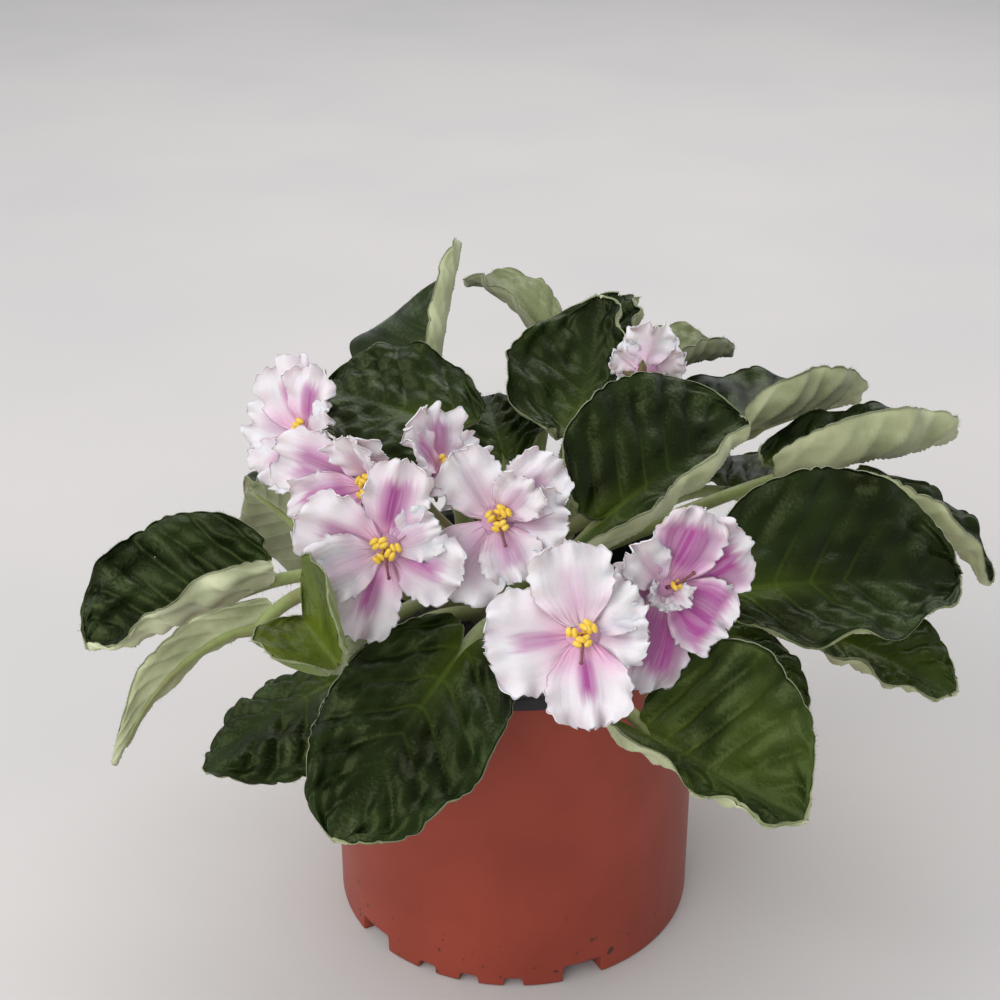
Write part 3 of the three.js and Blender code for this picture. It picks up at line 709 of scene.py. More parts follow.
@dataclass(frozen=True)
class FloorFinish(Finish):
    """The plain pale floor."""

    colour: Colour = linear(200, 196, 193)
    cloud: Colour = linear(194, 191, 189)

    def paint(self, book: Recipe) -> None:
        """Sets up its nodes in the material in the making."""
        colour = book.blend(book.step(book.grain(160, 2), 0.3, 0.8), self.colour, self.cloud)
        book.finish(colour, 0.7, Specular_IOR_Level=0.2)


class LeafKind(Enum):
    """How a leaf is coloured: the finishes of its upper side and its underside."""

    DARK = ("leaf_dark", "leaf_under")
    # The dark upper side, with an underside painted lighter as if lit
    PAINTED_LIGHT_UNDER = ("leaf_dark", "leaf_under_painted_light")
    OLIVE = ("leaf_olive", "leaf_under")
    # An upper side painted lighter, as if the light fell on it, with a darker, greener underside
    PAINTED_LIGHT_TOP = ("leaf_top_painted_light", "leaf_under_green")
    YOUNG = ("leaf_young", "leaf_young_under")


class Wardrobe:
    """Makes every finish once and hands it out by name."""

    def __init__(self) -> None:
        """Makes the finishes."""
        rib = linear(84, 104, 30)
        finishes = {
            "pot_outside": PlasticFinish(linear(144, 59, 43), linear(132, 53, 38), 0.36),
            "pot_inside": PlasticFinish(linear(30, 29, 32), linear(40, 39, 43), 0.4),
            "soil": EarthFinish(),
            "leaf_dark": LeafFinish(linear(6, 13, 3), linear(25, 38, 12), rib),
            "leaf_olive": LeafFinish(linear(26, 38, 10), linear(50, 64, 21), linear(108, 124, 50)),
            # A lighter, greyer copy of the leaf's upper side, painted as if lit, with its own painted sheen
            "leaf_top_painted_light": LeafFinish(linear(96, 103, 72), linear(122, 128, 94), linear(138, 144, 96),
                                   linear(128, 134, 104)),
            # The young leaf's own yellow-green, painted lighter for the light that shines through it from
            # behind
            "leaf_young": LeafFinish(linear(62, 76, 12), linear(94, 108, 28), linear(104, 118, 34),
                                     linear(96, 108, 48)),
            "leaf_under": UndersideFinish(linear(178, 182, 142), linear(152, 158, 116)),
            # A lighter copy of the underside, painted as if lit where the underside faces down into shade
            "leaf_under_painted_light": UndersideFinish(linear(208, 212, 174), linear(184, 190, 150)),
            "leaf_rim": UndersideFinish(linear(132, 140, 98), linear(108, 116, 76)),
            "leaf_under_green": UndersideFinish(linear(138, 142, 110), linear(116, 122, 90)),
            "leaf_young_under": UndersideFinish(linear(106, 120, 52), linear(90, 104, 42)),
            "stalk": StalkFinish(linear(132, 146, 82), linear(122, 106, 72)),
            "spray": StalkFinish(linear(128, 128, 80), linear(118, 84, 66)),
            "sepal": StalkFinish(linear(116, 100, 66), linear(98, 66, 50)),
            "hair": HairFinish(),
            "petal": PetalFinish(),
            "anther": AntherFinish(linear(226, 184, 52), linear(240, 208, 92)),
            "style": AntherFinish(linear(110, 58, 66), linear(134, 82, 84)),
            "floor": FloorFinish(),
        }
        self.made = {name: finish.make(name) for name, finish in finishes.items()}

    def take(self, *names: str) -> list[bpy.types.Material]:
        """Hands out the finishes of these names, in their order."""
        return [self.made[name] for name in names]


class Outline(Enum):
    """How wide a blade is along its length."""

    LEAF = "leaf"
    PETAL = "petal"
    SEPAL = "sepal"

    def widths(self, along: Array, taper: Array) -> Array:
        """Gives the blade's width along its length.

        Args:
            along: The share of the length.
            taper: How bluntly a leaf closes towards its tip.

        Returns:
            The share of the half width.
        """
        if self is Outline.LEAF:
            near = 1 - 0.42 * np.clip((0.4 - along) / 0.4, 0, 1) ** 2
            far = np.clip(1 - np.clip((along - 0.4) / 0.6, 0, 1) ** 2, 0, 1) ** taper
            corner = 0.72 + 0.28 * np.sqrt(np.clip(1 - (1 - along / 0.16) ** 2, 0, 1))
            return np.maximum(0.02, np.where(along < 0.4, near, far) * np.where(along < 0.16, corner, 1))
        if self is Outline.PETAL:
            near = 0.28 + 0.72 * np.sin(np.clip(along / 0.6, 0, 1) * math.pi / 2)
            far = np.sqrt(np.clip(1 - (np.clip(along - 0.6, 0, 1) / 0.48) ** 3, 0.01, 1))
            return np.where(along < 0.6, near, far)
        return 0.5 + 0.5 * np.sin(math.pi * along ** 0.8) - 0.48 * along ** 3


@dataclass(frozen=True)
class Blade:
    """A curved blade: where it lies, how wide it is, and how it bows, curls and waves.

    The width is half of it, on the left and on the right. The curl is how many degrees the sides turn up:
    the left at its base and tip, then the right. The wave is the height, number and start of the waves in
    the edge. The lobes are how far each side runs back beside the base, and the tapers how bluntly it
    closes at the tip.
    """

    base: Point
    tip: Point
    face: Point
    width: tuple[float, float]
    bow: float
    curl: tuple[float, float, float, float]
    wave: tuple[float, float, float]
    outline: Outline = Outline.LEAF
    law: float = 1.2
    lobes: tuple[float, float] = (0.22, 0.22)
    tapers: tuple[float, float] = (0.56, 0.56)
    sweep: float = 0.0
    sinus: float = 0.55

    def directions(self) -> tuple[float, Array, Array, Array]:
        """Gives the blade's own directions.

        Returns:
            Its length, and the ways to its tip, out of its upper side and to its right.
        """
        along = np.subtract(self.tip, self.base)
        length = float(np.linalg.norm(along))
        along = along / length
        face = np.array(self.face, float)
        face = unit(face - along * face.dot(along))
        return length, along, face, np.cross(along, face)

    def half_width(self, along: Array, across: Array) -> Array:
        """Gives the half width in millimetres on the side that a point is on, by its shares."""
        taper = np.where(across < 0, self.tapers[0], self.tapers[1])
        return np.where(across < 0, self.width[0], self.width[1]) * self.outline.widths(along, taper)

    def surface(self, along: Array, across: Array) -> Array:
        """Gives the points of the middle surface.

        Args:
            along: The share of the length, from the base to the tip.
            across: The share of the half width, from -1 on the left edge to 1 on the right.

        Returns:
            The points in millimetres.
        """
        length, forward, face, right = self.directions()
        share = np.abs(across)
        half = self.half_width(along, across)
        start = np.where(across < 0, self.curl[0], self.curl[2])
        stop = np.where(across < 0, self.curl[1], self.curl[3])
        turn = np.radians(start + (stop - start) * np.clip(along, 0, 1))
        steps = 20
        out = np.zeros_like(half)
        rise = np.zeros_like(half)
        for number in range(steps):
            angle = turn * (share * (number + 0.5) / steps) ** self.law
            out += np.cos(angle) * half * share / steps
            rise += np.sin(angle) * half * share / steps
        edge = turn * share ** self.law
        height, count, phase = self.wave
        run = 2 * math.pi * count * along + phase + np.where(across < 0, 1.7, 0)
        wave = height * share ** 2 * np.sin(run)
        lobe = np.where(across < 0, self.lobes[0], self.lobes[1])
        back = lobe * length * np.clip(1 - along, 0, 1) ** 3 * np.sin(math.pi * 0.62 * share ** self.sinus)
        arch = 4 * along * (1 - along)
        climb = self.bow * arch + rise + wave * np.cos(edge)
        aside = np.sign(across) * (out - wave * np.sin(edge)) + self.sweep * arch
        return (np.array(self.base) + (along * length - back)[..., None] * forward
                + climb[..., None] * face + aside[..., None] * right)


def crown_radius(height: float) -> float:
    """Gives the crown's radius at a height, both in millimetres, narrower above its shoulder."""
    climb = max(height - CROWN_SHOULDER, 0.0) / (CROWN_TOP - CROWN_SHOULDER)
    return CROWN_RADIUS - CROWN_TAPER * climb ** 1.5


class Piece:
    """What every piece has in its making: its mesh, the finishes and its own source of random numbers."""

    first_seed: ClassVar[int] = 0

    def build(self, wardrobe: Wardrobe, number: int = 0) -> None:
        """Makes the piece and sets it in its node's place.

        Args:
            wardrobe: The finishes.
            number: The piece's number among its kind, which sets its random draws.
        """
        self.wardrobe = wardrobe
        self.seed = np.random.default_rng(self.first_seed + number)
        self.form = Form()
        self.shape()

    def shape(self) -> None:
        """Makes all meshes, as each kind of piece does in its own way."""
        raise NotImplementedError

    def fit(self, name: str, node: str, slot: str, *finishes: str) -> None:
        """Sets the mesh on the frame in the place of a node and starts the next mesh.

        Args:
            name: The new object's name.
            node: The node that it stands for.
            slot: The record's material slot that it stands for; it is not used.
            finishes: The names of its finishes, in the order of the mesh's slots.
        """
        piece = self.form.make(name, self.wardrobe.take(*finishes))
        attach(piece, "root")
        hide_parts(node)
        LOG.info("%s: %d faces in the place of %s", piece.name, len(piece.data.polygons), node)
        self.form = Form()


@dataclass
class Leaf(Piece):
    """One leaf: a quilted, hairy blade with scalloped edges, on its stalk."""

    first_seed: ClassVar[int] = 100
    name: str
    blade: Blade
    root: tuple[float, float]
    rise: float = 0.0
    arrive: float = 0.4
    knee: Point | None = None
    kind: LeafKind = LeafKind.DARK
    tone: float = 0.0
    rows: int = 78
    columns: int = 42
    thickness: float = 0.9
    vein_count: float = 6.5
    vein_slant: float = 0.34
    quilt: float = 1.9
    crumple: float = 0.5
    tooth_depth: float = 1.0
    tooth_length: float = 4.6
    sunk: float = 0.6
    stalk_radii: tuple[float, float] = (1.9, 1.5)
    stalk_points: int = 37
    stalk_sides: int = 14
    rib_radii: tuple[float, float] = (1.15, 0.2)
    rib_points: int = 9
    top_hairs: int = 600
    edge_hairs: int = 260
    stalk_hairs: int = 320

    def teeth(self, along: Array, across: Array) -> Array:
        """Draws the edge in to leave rounded teeth.

        Args:
            along: The share of the length.
            across: The share of the half width before the teeth.

        Returns:
            The share of the half width with the teeth.
        """
        drawn = across.copy()
        for column, sign in ((0, -1), (-1, 1)):
            edge = self.blade.surface(along[:, column], np.full(len(along), float(sign)))
            run = np.concatenate([[0], np.cumsum(np.linalg.norm(np.diff(edge, axis=0), axis=1))])
            a, b, c = self.seed.uniform(0, 6, 3)
            run = run + 0.9 * np.sin(run / 4.1 + a) + 0.5 * np.sin(run / 1.9 + b)
            tooth = 1 - np.abs(np.sin(math.pi * run / self.tooth_length)) ** 0.55
            size = self.tooth_depth * (0.6 + 0.4 * np.sin(run / 6.3 + c))
            half = np.maximum(self.blade.half_width(along[:, column], np.array(float(sign))), 3)
            cut = (tooth * size / half)[:, None] * np.abs(across) ** 7
            drawn = np.where(across * sign > 0, across * (1 - cut), drawn)
        return drawn

    def add_blade(self) -> None:
        """Adds the blade with its quilts, veins and hairs."""
        # The net, closer together at the edges, with the teeth cut into it
        u = np.linspace(0, 1, self.rows + 1)
        v = np.linspace(-1, 1, self.columns + 1)
        along, across = np.meshgrid(0.35 * u + 0.65 * (0.5 - 0.5 * np.cos(math.pi * u)),
                                    0.7 * v + 0.3 * np.sin(math.pi * v / 2), indexing="ij")
        across = self.teeth(along, across)
        middle = self.blade.surface(along, across)
        # The quilts between the veins, the dents in them and the furrow over the midrib
        share = np.abs(across)
        distance = across * self.blade.half_width(along, across)
        phase = self.vein_count * (along - self.vein_slant * share ** 0.85 + 0.03)
        swell = np.abs(np.sin(math.pi * phase)) ** 0.7
        off_rib = smooth(0.6, 4.5, np.abs(distance))
        a, b = self.seed.uniform(0, 6, 2)
        dents = 0.6 * np.sin(along * 17 + across * 9 + a) * np.sin(across * 15 - along * 8 + b)
        dents += np.sin(along * 9 - across * 4 + b) * np.sin(across * 7 + along * 3 + a)
        upper = self.quilt * (swell - 0.5) * off_rib * (1 - share ** 8) + self.crumple * dents * off_rib
        upper -= 0.5 * np.exp(-(distance / 1.4) ** 2) * (1 - 0.7 * along)
        # The raised veins of the underside
        spacing = self.blade.directions()[0] / self.vein_count
        gap = np.abs(phase - np.round(phase)) * spacing
        under = 0.3 * np.exp(-(gap / 0.55) ** 2) * (1 - share ** 6)
        under += 0.8 * np.exp(-(distance / 1.2) ** 2) * (1 - 0.75 * along) - upper * 0.6
        # The sheet, thinner at its edge
        thickness = self.thickness * (1 - 0.6 * smooth(0.86, 1.0, np.maximum(share, along)))
        place = np.stack([along, distance, phase], axis=-1)
        tint = (self.tone, 0, 0)
        points, normals = self.form.add_sheet(middle, thickness, (upper, under), (0, 1, 4),
                                              (place, place), tint)
        self.add_blade_hairs(points, normals)

    def add_blade_hairs(self, points: Array, normals: Array) -> None:
        """Adds the hairs of the upper side and the edge.

        Args:
            points: The points of the upper side.
            normals: The way out of it at each.
        """
        # Hairs on the upper side
        rows = self.seed.integers(1, self.rows, self.top_hairs)
        columns = self.seed.integers(1, self.columns, self.top_hairs)
        mix = self.seed.uniform(0, 1, (self.top_hairs, 1))
        roots = points[rows, columns] * mix + points[rows - 1, columns - 1] * (1 - mix)
        ways = normals[rows, columns] + self.seed.normal(0, 0.35, (self.top_hairs, 3))
        forward = self.blade.directions()[1]
        lengths = self.seed.uniform(0.5, 1.2, self.top_hairs)
        self.form.add_hairs(roots, ways + 0.5 * forward, lengths, 0.025, 3)
        # Hairs round the edge
        rows = self.seed.integers(1, self.rows, self.edge_hairs)
        side = self.seed.choice([0, self.columns], self.edge_hairs)
        inner = np.where(side == 0, 2, self.columns - 2)
        roots = points[rows, side] - 0.3 * normals[rows, side]
        ways = unit(roots - points[rows, inner]) + self.seed.normal(0, 0.3, (self.edge_hairs, 3))
        self.form.add_hairs(roots, ways, self.seed.uniform(0.5, 1.1, self.edge_hairs), 0.03, 3)

    def add_stalk(self) -> None:
        """Adds the stalk, which runs on under the blade as its midrib."""
        length, forward, face, right = self.blade.directions()
        base = np.array(self.blade.base, float)
        # The stalk's curve, from inside the crown to the blade's foot
        height, turn = self.root
        out = np.array([math.cos(math.radians(turn)), math.sin(math.radians(turn)), 0.0])
        foot = out * (crown_radius(height) - self.sunk) + height * UP
        reach = float(np.linalg.norm(out * (crown_radius(height) + self.sunk) + height * UP - base))
        leave = foot + out * 0.35 * reach + self.rise * UP
        arrive = base - forward * self.arrive * reach - face * 2.6 + self.rise * UP
        if self.knee:
            arrive = np.array(self.knee, float)
        path = bezier([foot, leave, arrive, base + forward * 2 - face * 1.5], self.stalk_points)
        # The midrib along the blade's back
        shares = np.linspace(0.15, 0.9, self.rib_points)[:, None]
        arch = 4 * shares * (1 - shares)
        rib = base + forward * length * shares + face * (self.blade.bow * arch - 1.2)
        rib = rib + right * self.blade.sweep * arch
        # Both in one round stem, with hairs
        swell = 1 + 0.05 * np.sin(np.linspace(0, 9, self.stalk_points) + self.seed.uniform(0, 6))
        radii = np.linspace(*self.stalk_radii, self.stalk_points) * swell
        all_radii = np.concatenate([radii, np.linspace(*self.rib_radii, self.rib_points)])
        run = np.concatenate([np.linspace(0, 1, self.stalk_points), np.ones(self.rib_points)])
        self.form.add_stem(np.concatenate([path, rib]), all_radii, self.stalk_sides, 2, run)
        self.form.add_hairs_along(path, radii, (0.6, 1.5, self.stalk_hairs), 0.3, 0.04, 3, self.seed)

    def shape(self) -> None:
        """Makes the leaf and sets it in its node's place."""
        self.add_blade()
        self.add_stalk()
        slot = "young_leaf" if self.kind is LeafKind.YOUNG else "leaf"
        self.fit(f"{self.name}_blade", self.name, slot, *self.kind.value, "stalk", "hair", "leaf_rim")


def blade(base: Point, tip: Point, face: Point, width: tuple[float, float], bow: float,
          curl: Sequence[float], wave: tuple[float, float, float], **more: Any) -> Blade:
    """Gives a leaf's blade, with one curl for all or one for each corner: base and tip, left then right."""
    corners = tuple(curl) * (4 // len(curl))
    return Blade(base, tip, face, width, bow, corners, wave, **more)


OLIVE, PAINTED_LIGHT_TOP, YOUNG = LeafKind.OLIVE, LeafKind.PAINTED_LIGHT_TOP, LeafKind.YOUNG
# The leaves, from the left round the front to the right, then the upper ones and the four behind
LEAVES = [
    # Its underside is painted lighter, as if lit
    Leaf("leaf_left", blade((-57, -6, 84.5), (-94.5, -15, 72.5), (0, -0.6, 0.8), (15, 23), -2,
         (150, 90, 20, 15), (1.4, 3, 0.3), law=0.45, lobes=(0.1, 0.1), tapers=(1.3, 0.38)), (80, 184),
         kind=LeafKind.PAINTED_LIGHT_UNDER, crumple=1.1),
    Leaf("leaf_left_low", blade((-56, -17, 81), (-84.5, -42, 60.5), (-0.5, 0.85, 0.1), (7, 4), 3, (20,),
         (0.8, 3, 1), lobes=(0.1, 0.1), tapers=(1.2, 1.2), sweep=-5), (76, 200), rise=4, quilt=0.8,
         crumple=0.3),
    # Its upper side is painted lighter, as if lit
    Leaf("leaf_left_back", blade((-47, 14, 84), (-62, 18, 96), (-0.3, 0.9, 0.3), (13, 13), 2, (15,),
         (1, 3, 2), lobes=(0.3, 0.3)), (76, 165), rise=4, kind=PAINTED_LIGHT_TOP, quilt=0.2, crumple=0.2),
    Leaf("leaf_young", blade((-33.5, -70, 103), (-42, -50, 101), (-0.74, -0.2, 0.64), (14, 18), 0,
         (88, 88, 56, 56), (0.5, 3, 0), law=0.35, lobes=(0.15, 0.15), tapers=(0.56, 0.3)), (84, 211),
         knee=(-36, -44, 90), kind=YOUNG, quilt=0.3, crumple=0.2),
    Leaf("leaf_front_left_low", blade((-35.5, -38, 79.5), (-62.5, -57, 69.5), (-0.25, -0.2, 0.95),
         (17, 14), 2, (-50, -50, -40, -40), (1.2, 3, 1), tapers=(0.8, 0.9)), (76, 232), rise=8,
         crumple=1.2),
    Leaf("leaf_front_left", blade((-13, -46, 88), (-35, -77, 68), (-0.1, -0.75, 0.65), (18, 17), 2, (15,),
         (1.4, 3, 0), lobes=(0.2, 0.2)), (80, 255), crumple=0.9),
    Leaf("leaf_front_right", blade((25.5, -60, 80.5), (52.5, -85, 78.5), (-0.35, -0.65, 0.68), (25, 11),
         2, (20, 20, 150, 80), (1.2, 3, 0.5), law=0.8, lobes=(0.1, 0.45), tapers=(0.6, 0.6)), (76, 283),
         rise=9, kind=OLIVE),
    Leaf("leaf_right", blade((49, -25, 93.5), (96, -15, 91), (-0.05, -0.7, 0.71), (25, 18), 2,
         (20, 20, 40, 90), (1.6, 3, 0.2), lobes=(0.14, 0.12)), (84, 332), quilt=1.5, crumple=0.7),
    Leaf("leaf_right_low", blade((69, -19, 77.5), (93.5, -32, 72), (0.1, -0.5, 0.85), (13, 12), 2,
         (10, 10, 90, 60), (1, 3, 0.7), tapers=(0.7, 0.7)), (76, 345), rise=7, kind=OLIVE),
    Leaf("leaf_right_under", blade((42, -24, 82), (60, -40, 71), (0.2, -0.4, 0.85), (9, 13), 2, (15,),
         (1, 3, 0)), (76, 318), rise=3, kind=OLIVE),
    Leaf("leaf_far_right", blade((84, 18, 94), (109.5, 5, 78), (0.2, -0.1, 0.97), (12, 17), 4,
         (10, 10, 110, 80), (1.4, 3, 0)), (80, 6), rise=-8, quilt=1.3),
    Leaf("leaf_back_right", blade((68, 26, 98), (106, 36, 102), (0, -0.1, 1), (17, 23), 0,
         (25, 25, 130, 120), (1.6, 3, 0.5), law=1), (84, 27), quilt=1.3),
    Leaf("leaf_upper_right", blade((56, 39, 102), (86, 59, 101), (-0.1, 0.1, 1), (26, 20), 1,
         (25, 25, 110, 80), (1.4, 3, 0), law=0.9, lobes=(0.8, 0.1)), (88, 44), quilt=1.3),
    # Its upper side is painted lighter, as if lit
    Leaf("leaf_dome", blade((36, 58, 109), (55, 68, 110), (0, -0.2, 0.95), (13, 13), 3,
         (15, 15, 120, 110), (0.8, 3, 0)), (80, 50), kind=PAINTED_LIGHT_TOP, quilt=0.8),
    Leaf("leaf_middle_right", blade((19.6, -12, 104), (50, 11, 117.5), (0.1, -0.75, 0.65), (23, 16), 2,
         (15, 15, 150, 150), (1.4, 3, 0), lobes=(0.12, 0.5)), (88, 345), quilt=1.2, crumple=0.7),
    Leaf("leaf_top", blade((14.4, 22, 110), (20, 49, 132), (-0.1, -0.6, 0.8), (20, 14), -2,
         (50, 20, 110, 100), (1.4, 3, 0), lobes=(0.1, 0.1), tapers=(1, 0.5)), (92, 52), quilt=1.0,
         crumple=0.8),
    Leaf("leaf_top_back", blade((19, 46, 118), (26, 64, 127), (-0.1, -0.4, 0.86), (10, 12), 0,
         (20, 20, 80, 80), (1.2, 3, 0)), (84, 66)),
    Leaf("leaf_upper_left", blade((-18.3, 5, 118.5), (-43.5, 14, 123), (-0.05, -0.4, 0.9), (17, 18), 1,
         (15,), (1.6, 3, 0), lobes=(0.35, 0.35)), (88, 176), quilt=0.9, crumple=0.8),
    Leaf("leaf_back_left", blade((-19.5, 36, 117), (-13.5, 63, 141), (-0.3, -0.6, 0.74), (26, 8), 1,
         (0, -60, 140, 140), (1, 3, 0), law=0.5, lobes=(0.1, 0.1), tapers=(5, 0.4)), (84, 122), quilt=0.6,
         crumple=0.2, tooth_depth=1.7, tooth_length=7.5),
    # Its upper side is painted lighter, as if lit
    Leaf("leaf_back", blade((7, 56, 119), (-11.5, 76, 126), (0, -0.1, 1), (10, 9), 6, (110, 60, 20, 20),
         (1.2, 3, 0)), (88, 84), arrive=0.15, kind=PAINTED_LIGHT_TOP, quilt=0.6, tone=0.6),
    Leaf("leaf_middle_back", blade((-3, 22, 104), (-8, 42, 109), (0, -0.3, 0.95), (12, 12), 2, (20,),
         (1.2, 3, 0)), (88, 112)),
    Leaf("leaf_behind_left", blade((-40, 42, 88), (-65, 61, 76), (-0.2, 0.2, 0.95), (17, 17), 3, (20,),
         (1.4, 3, 0)), (76, 134), rise=4),
    Leaf("leaf_behind", blade((-8, 60, 93), (-14, 96, 80), (0, 0.35, 0.95), (19, 19), 3, (20,),
         (1.4, 3, 1)), (80, 100), rise=2),
    Leaf("leaf_behind_right", blade((28, 52, 90), (46, 84, 76), (0.2, 0.3, 0.95), (18, 18), 3, (20,),
         (1.4, 3, 2)), (76, 72)),
    Leaf("leaf_behind_far_right", blade((56, 42, 84), (84, 58, 70), (0.4, 0.2, 0.9), (17, 17), 3, (20,),
         (1.4, 3, 3)), (76, 36), rise=4),
]


@dataclass(frozen=True)
class Petal:
    """One petal: its direction about the bloom's middle, its size, its lean and curl, and its flame."""

    turn: float
    length: float
    width: float
    lean: float
    curl: float
    flame: float
    spread: float = 0.4


@dataclass
class Bloom(Piece):
    """One bloom: ruffled petals round a throat, and the heart of anthers and style in front of it."""

    first_seed: ClassVar[int] = 300
    name: str
    middle: Point
    face: Point
    petals: Sequence[Petal]
    anther_pairs: int = 5
    style_turn: float = 280.0
    rows: int = 40
    columns: int = 36
    thickness: float = 0.5
    ruffle: float = 1.35
    fringe: float = 0.95
    sway: float = 1.1
    pleats: float = 0.45
    throat_depths: tuple[float, ...] = (-3.0, -2.2, -1.4, -0.6, 0.2, 0.9)
    throat_radii: tuple[float, ...] = (1.5, 1.6, 1.6, 2.0, 2.7, 3.2)
    anther_halves: tuple[float, float, float] = (0.62, 0.7, 1.05)
    filament_radius: float = 0.3
    heart_depth: float = 2.7
    style_radii: tuple[float, float] = (0.4, 0.25)

    def axes(self) -> tuple[Array, Array, Array]:
        """Gives the bloom's own directions.

        Returns:
            The ways that are forward, up and right for it.
        """
        forward = unit(np.array(self.face, float))
        up = unit(UP - forward * forward[2])
        return forward, up, np.cross(up, forward)

    def around(self, turn: float) -> Array:
        """Gives the direction at an angle in degrees about the bloom's middle, from its right."""
        _, up, right = self.axes()
        return right * math.cos(math.radians(turn)) + up * math.sin(math.radians(turn))

    def add_petal(self, petal: Petal, number: int) -> None:
        """Adds a petal.

        Args:
            petal: The petal's sizes.
            number: Its number in the bloom, which sets whether it lies behind or in front.
        """
        # Where the petal lies
        forward = self.axes()[0]
        out = self.around(petal.turn)
        middle = np.array(self.middle, float)
        layer = forward * (-0.3 if number % 2 == 0 else 0.7)
        lean = math.radians(petal.lean)
        tip = middle + layer + petal.length * (out * math.cos(lean) + forward * math.sin(lean))
        shape = Blade(middle + layer + out * 1.8, tip, forward,
                      (petal.width / 2, petal.width / 2), 0.6, (petal.curl,) * 4, (0.6, 3, number * 1.3),
                      Outline.PETAL, lobes=(0.0, 0.0))
        # The net, with a rounded end and a fringed rim
        u = np.linspace(0, 1, self.rows + 1)
        v = np.linspace(-1, 1, self.columns + 1)
        rows, across = np.meshgrid(u, np.sin(math.pi * v / 2) * 0.4 + 0.6 * v, indexing="ij")
        share = np.abs(across)
        along = 0.95 * rows + 0.12 * rows ** 5 * (1 - share ** 2)
        bearing = np.arctan2(across * petal.width / 2, (along - 0.35) * petal.length * 0.8)
        rim = np.maximum(smooth(0.62, 1.0, share) * smooth(0.1, 0.4, rows), smooth(0.68, 1.0, rows))
        a, b, c, d = self.seed.uniform(0, 6, 4)
        tooth = np.sin(bearing * 23 + a + 1.5 * np.sin(bearing * 5 + b)) + 0.7 * np.sin(bearing * 41 + c)
        cut = self.fringe * (0.5 + 0.3 * tooth) * rim ** 5
        along = along - cut / petal.length * smooth(0.6, 1.0, rows)
        across = across * (1 - cut / (petal.width / 2) * share ** 4 * smooth(0.25, 0.6, rows))
        points = shape.surface(along, across)
        # The ruffles of the rim, the sway of the sides and the pleats
        fold = np.sin(bearing * 8 + d + 0.9 * np.sin(bearing * 3 + a)) + 0.5 * np.sin(bearing * 15 + b)
        sway = self.sway * np.sin(bearing * 2.7 + c) * share ** 2
        pleats = self.pleats * np.sin(across * 6.5 + d) * smooth(0.1, 0.5, along) * (1 - 0.5 * rim)
        lift = (self.ruffle * fold * rim ** 1.3 + sway) * smooth(0.3, 0.8, along) + pleats
        points = points + lift[..., None] * forward
        # The fine ribs and the keel on the back
        ribs = 0.07 * np.sin(across * 38 + a) * smooth(0.05, 0.3, along) * (1 - rim)
        keel = -0.35 * np.exp(-(across / 0.12) ** 2) * (1 - rim)
        thickness = self.thickness * (1 - 0.4 * rim)
        # What the shader reads
        even = np.ones_like(lift)
        flames = (petal.flame, petal.flame * 0.55)
        places = tuple(np.stack([along, across, flame * even], axis=-1) for flame in flames)
        # The tint's third part is the lift, from which the shader paints shade into the creases
        tint = np.stack([petal.spread * even, self.seed.uniform(0, 30) * even, lift], axis=-1)
        self.form.add_sheet(points, thickness, (ribs + keel, -keel), (0, 0, 0), places, tint)

    def shape(self) -> None:
        """Makes the corolla and the heart and sets them in their nodes' places."""
        for place, petal in enumerate(self.petals):
            self.add_petal(petal, place)
        forward = self.axes()[0]
        middle = np.array(self.middle, float)
        throat = middle + np.outer(self.throat_depths, forward)
        depths = np.linspace(0.0, 0.12, len(throat))
        self.form.add_stem(throat, np.array(self.throat_radii), 20, 0, depths, 1.0)
        self.fit(f"{self.name}_corolla", self.name, "petal", "petal")
        self.add_heart()
        node = self.name.replace("bloom", "anthers")
        self.fit(f"{node}_heart", node, "anther", "anther", "style")

    def add_heart(self) -> None:
        """Adds the anthers and the style."""
        forward = self.axes()[0]
        middle = np.array(self.middle, float)
        broad, thick, tall = self.anther_halves
        draw = self.seed.uniform
        for pair in range(self.anther_pairs):
            turn = 360 / self.anther_pairs * pair + draw(0, 40)
            ahead = self.heart_depth + draw(-0.3, 0.5)
            seat = middle + forward * ahead + self.around(turn) * draw(1.4, 2.3)
            long = unit(self.around(turn + 90 + draw(-25, 25)) + forward * draw(-0.3, 0.3))
            deep = unit(forward - long * forward.dot(long))
            aside = np.cross(deep, long)
            for sign in (-1, 1):
                centre = seat + aside * 0.52 * sign + long * 0.12 * sign
                self.form.add_ball(centre, np.array([aside * broad, deep * thick, long * tall]), 0)
            path = bezier([middle + forward * 0.95, middle + forward * 1.6, seat - deep * 1.2, seat], 8)
            self.form.add_stem(path, np.full(8, self.filament_radius), 8, 0)
        way = self.around(self.style_turn)
        path = bezier([middle + forward * 1.0, middle + forward * 3 + way, middle + forward * 4 + way * 3,
                       middle + forward * 3.8 + way * 5.4], 16)
        self.form.add_stem(path, np.linspace(*self.style_radii, 16), 10, 1)
        self.form.add_ball(path[-1], np.eye(3) * 0.42, 1)


def petals(*rows: Sequence[float]) -> list[Petal]:
    """Gives petals from rows of their turn, length, width, lean, curl, flame and the flame's spread."""
    return [Petal(*row) for row in rows]


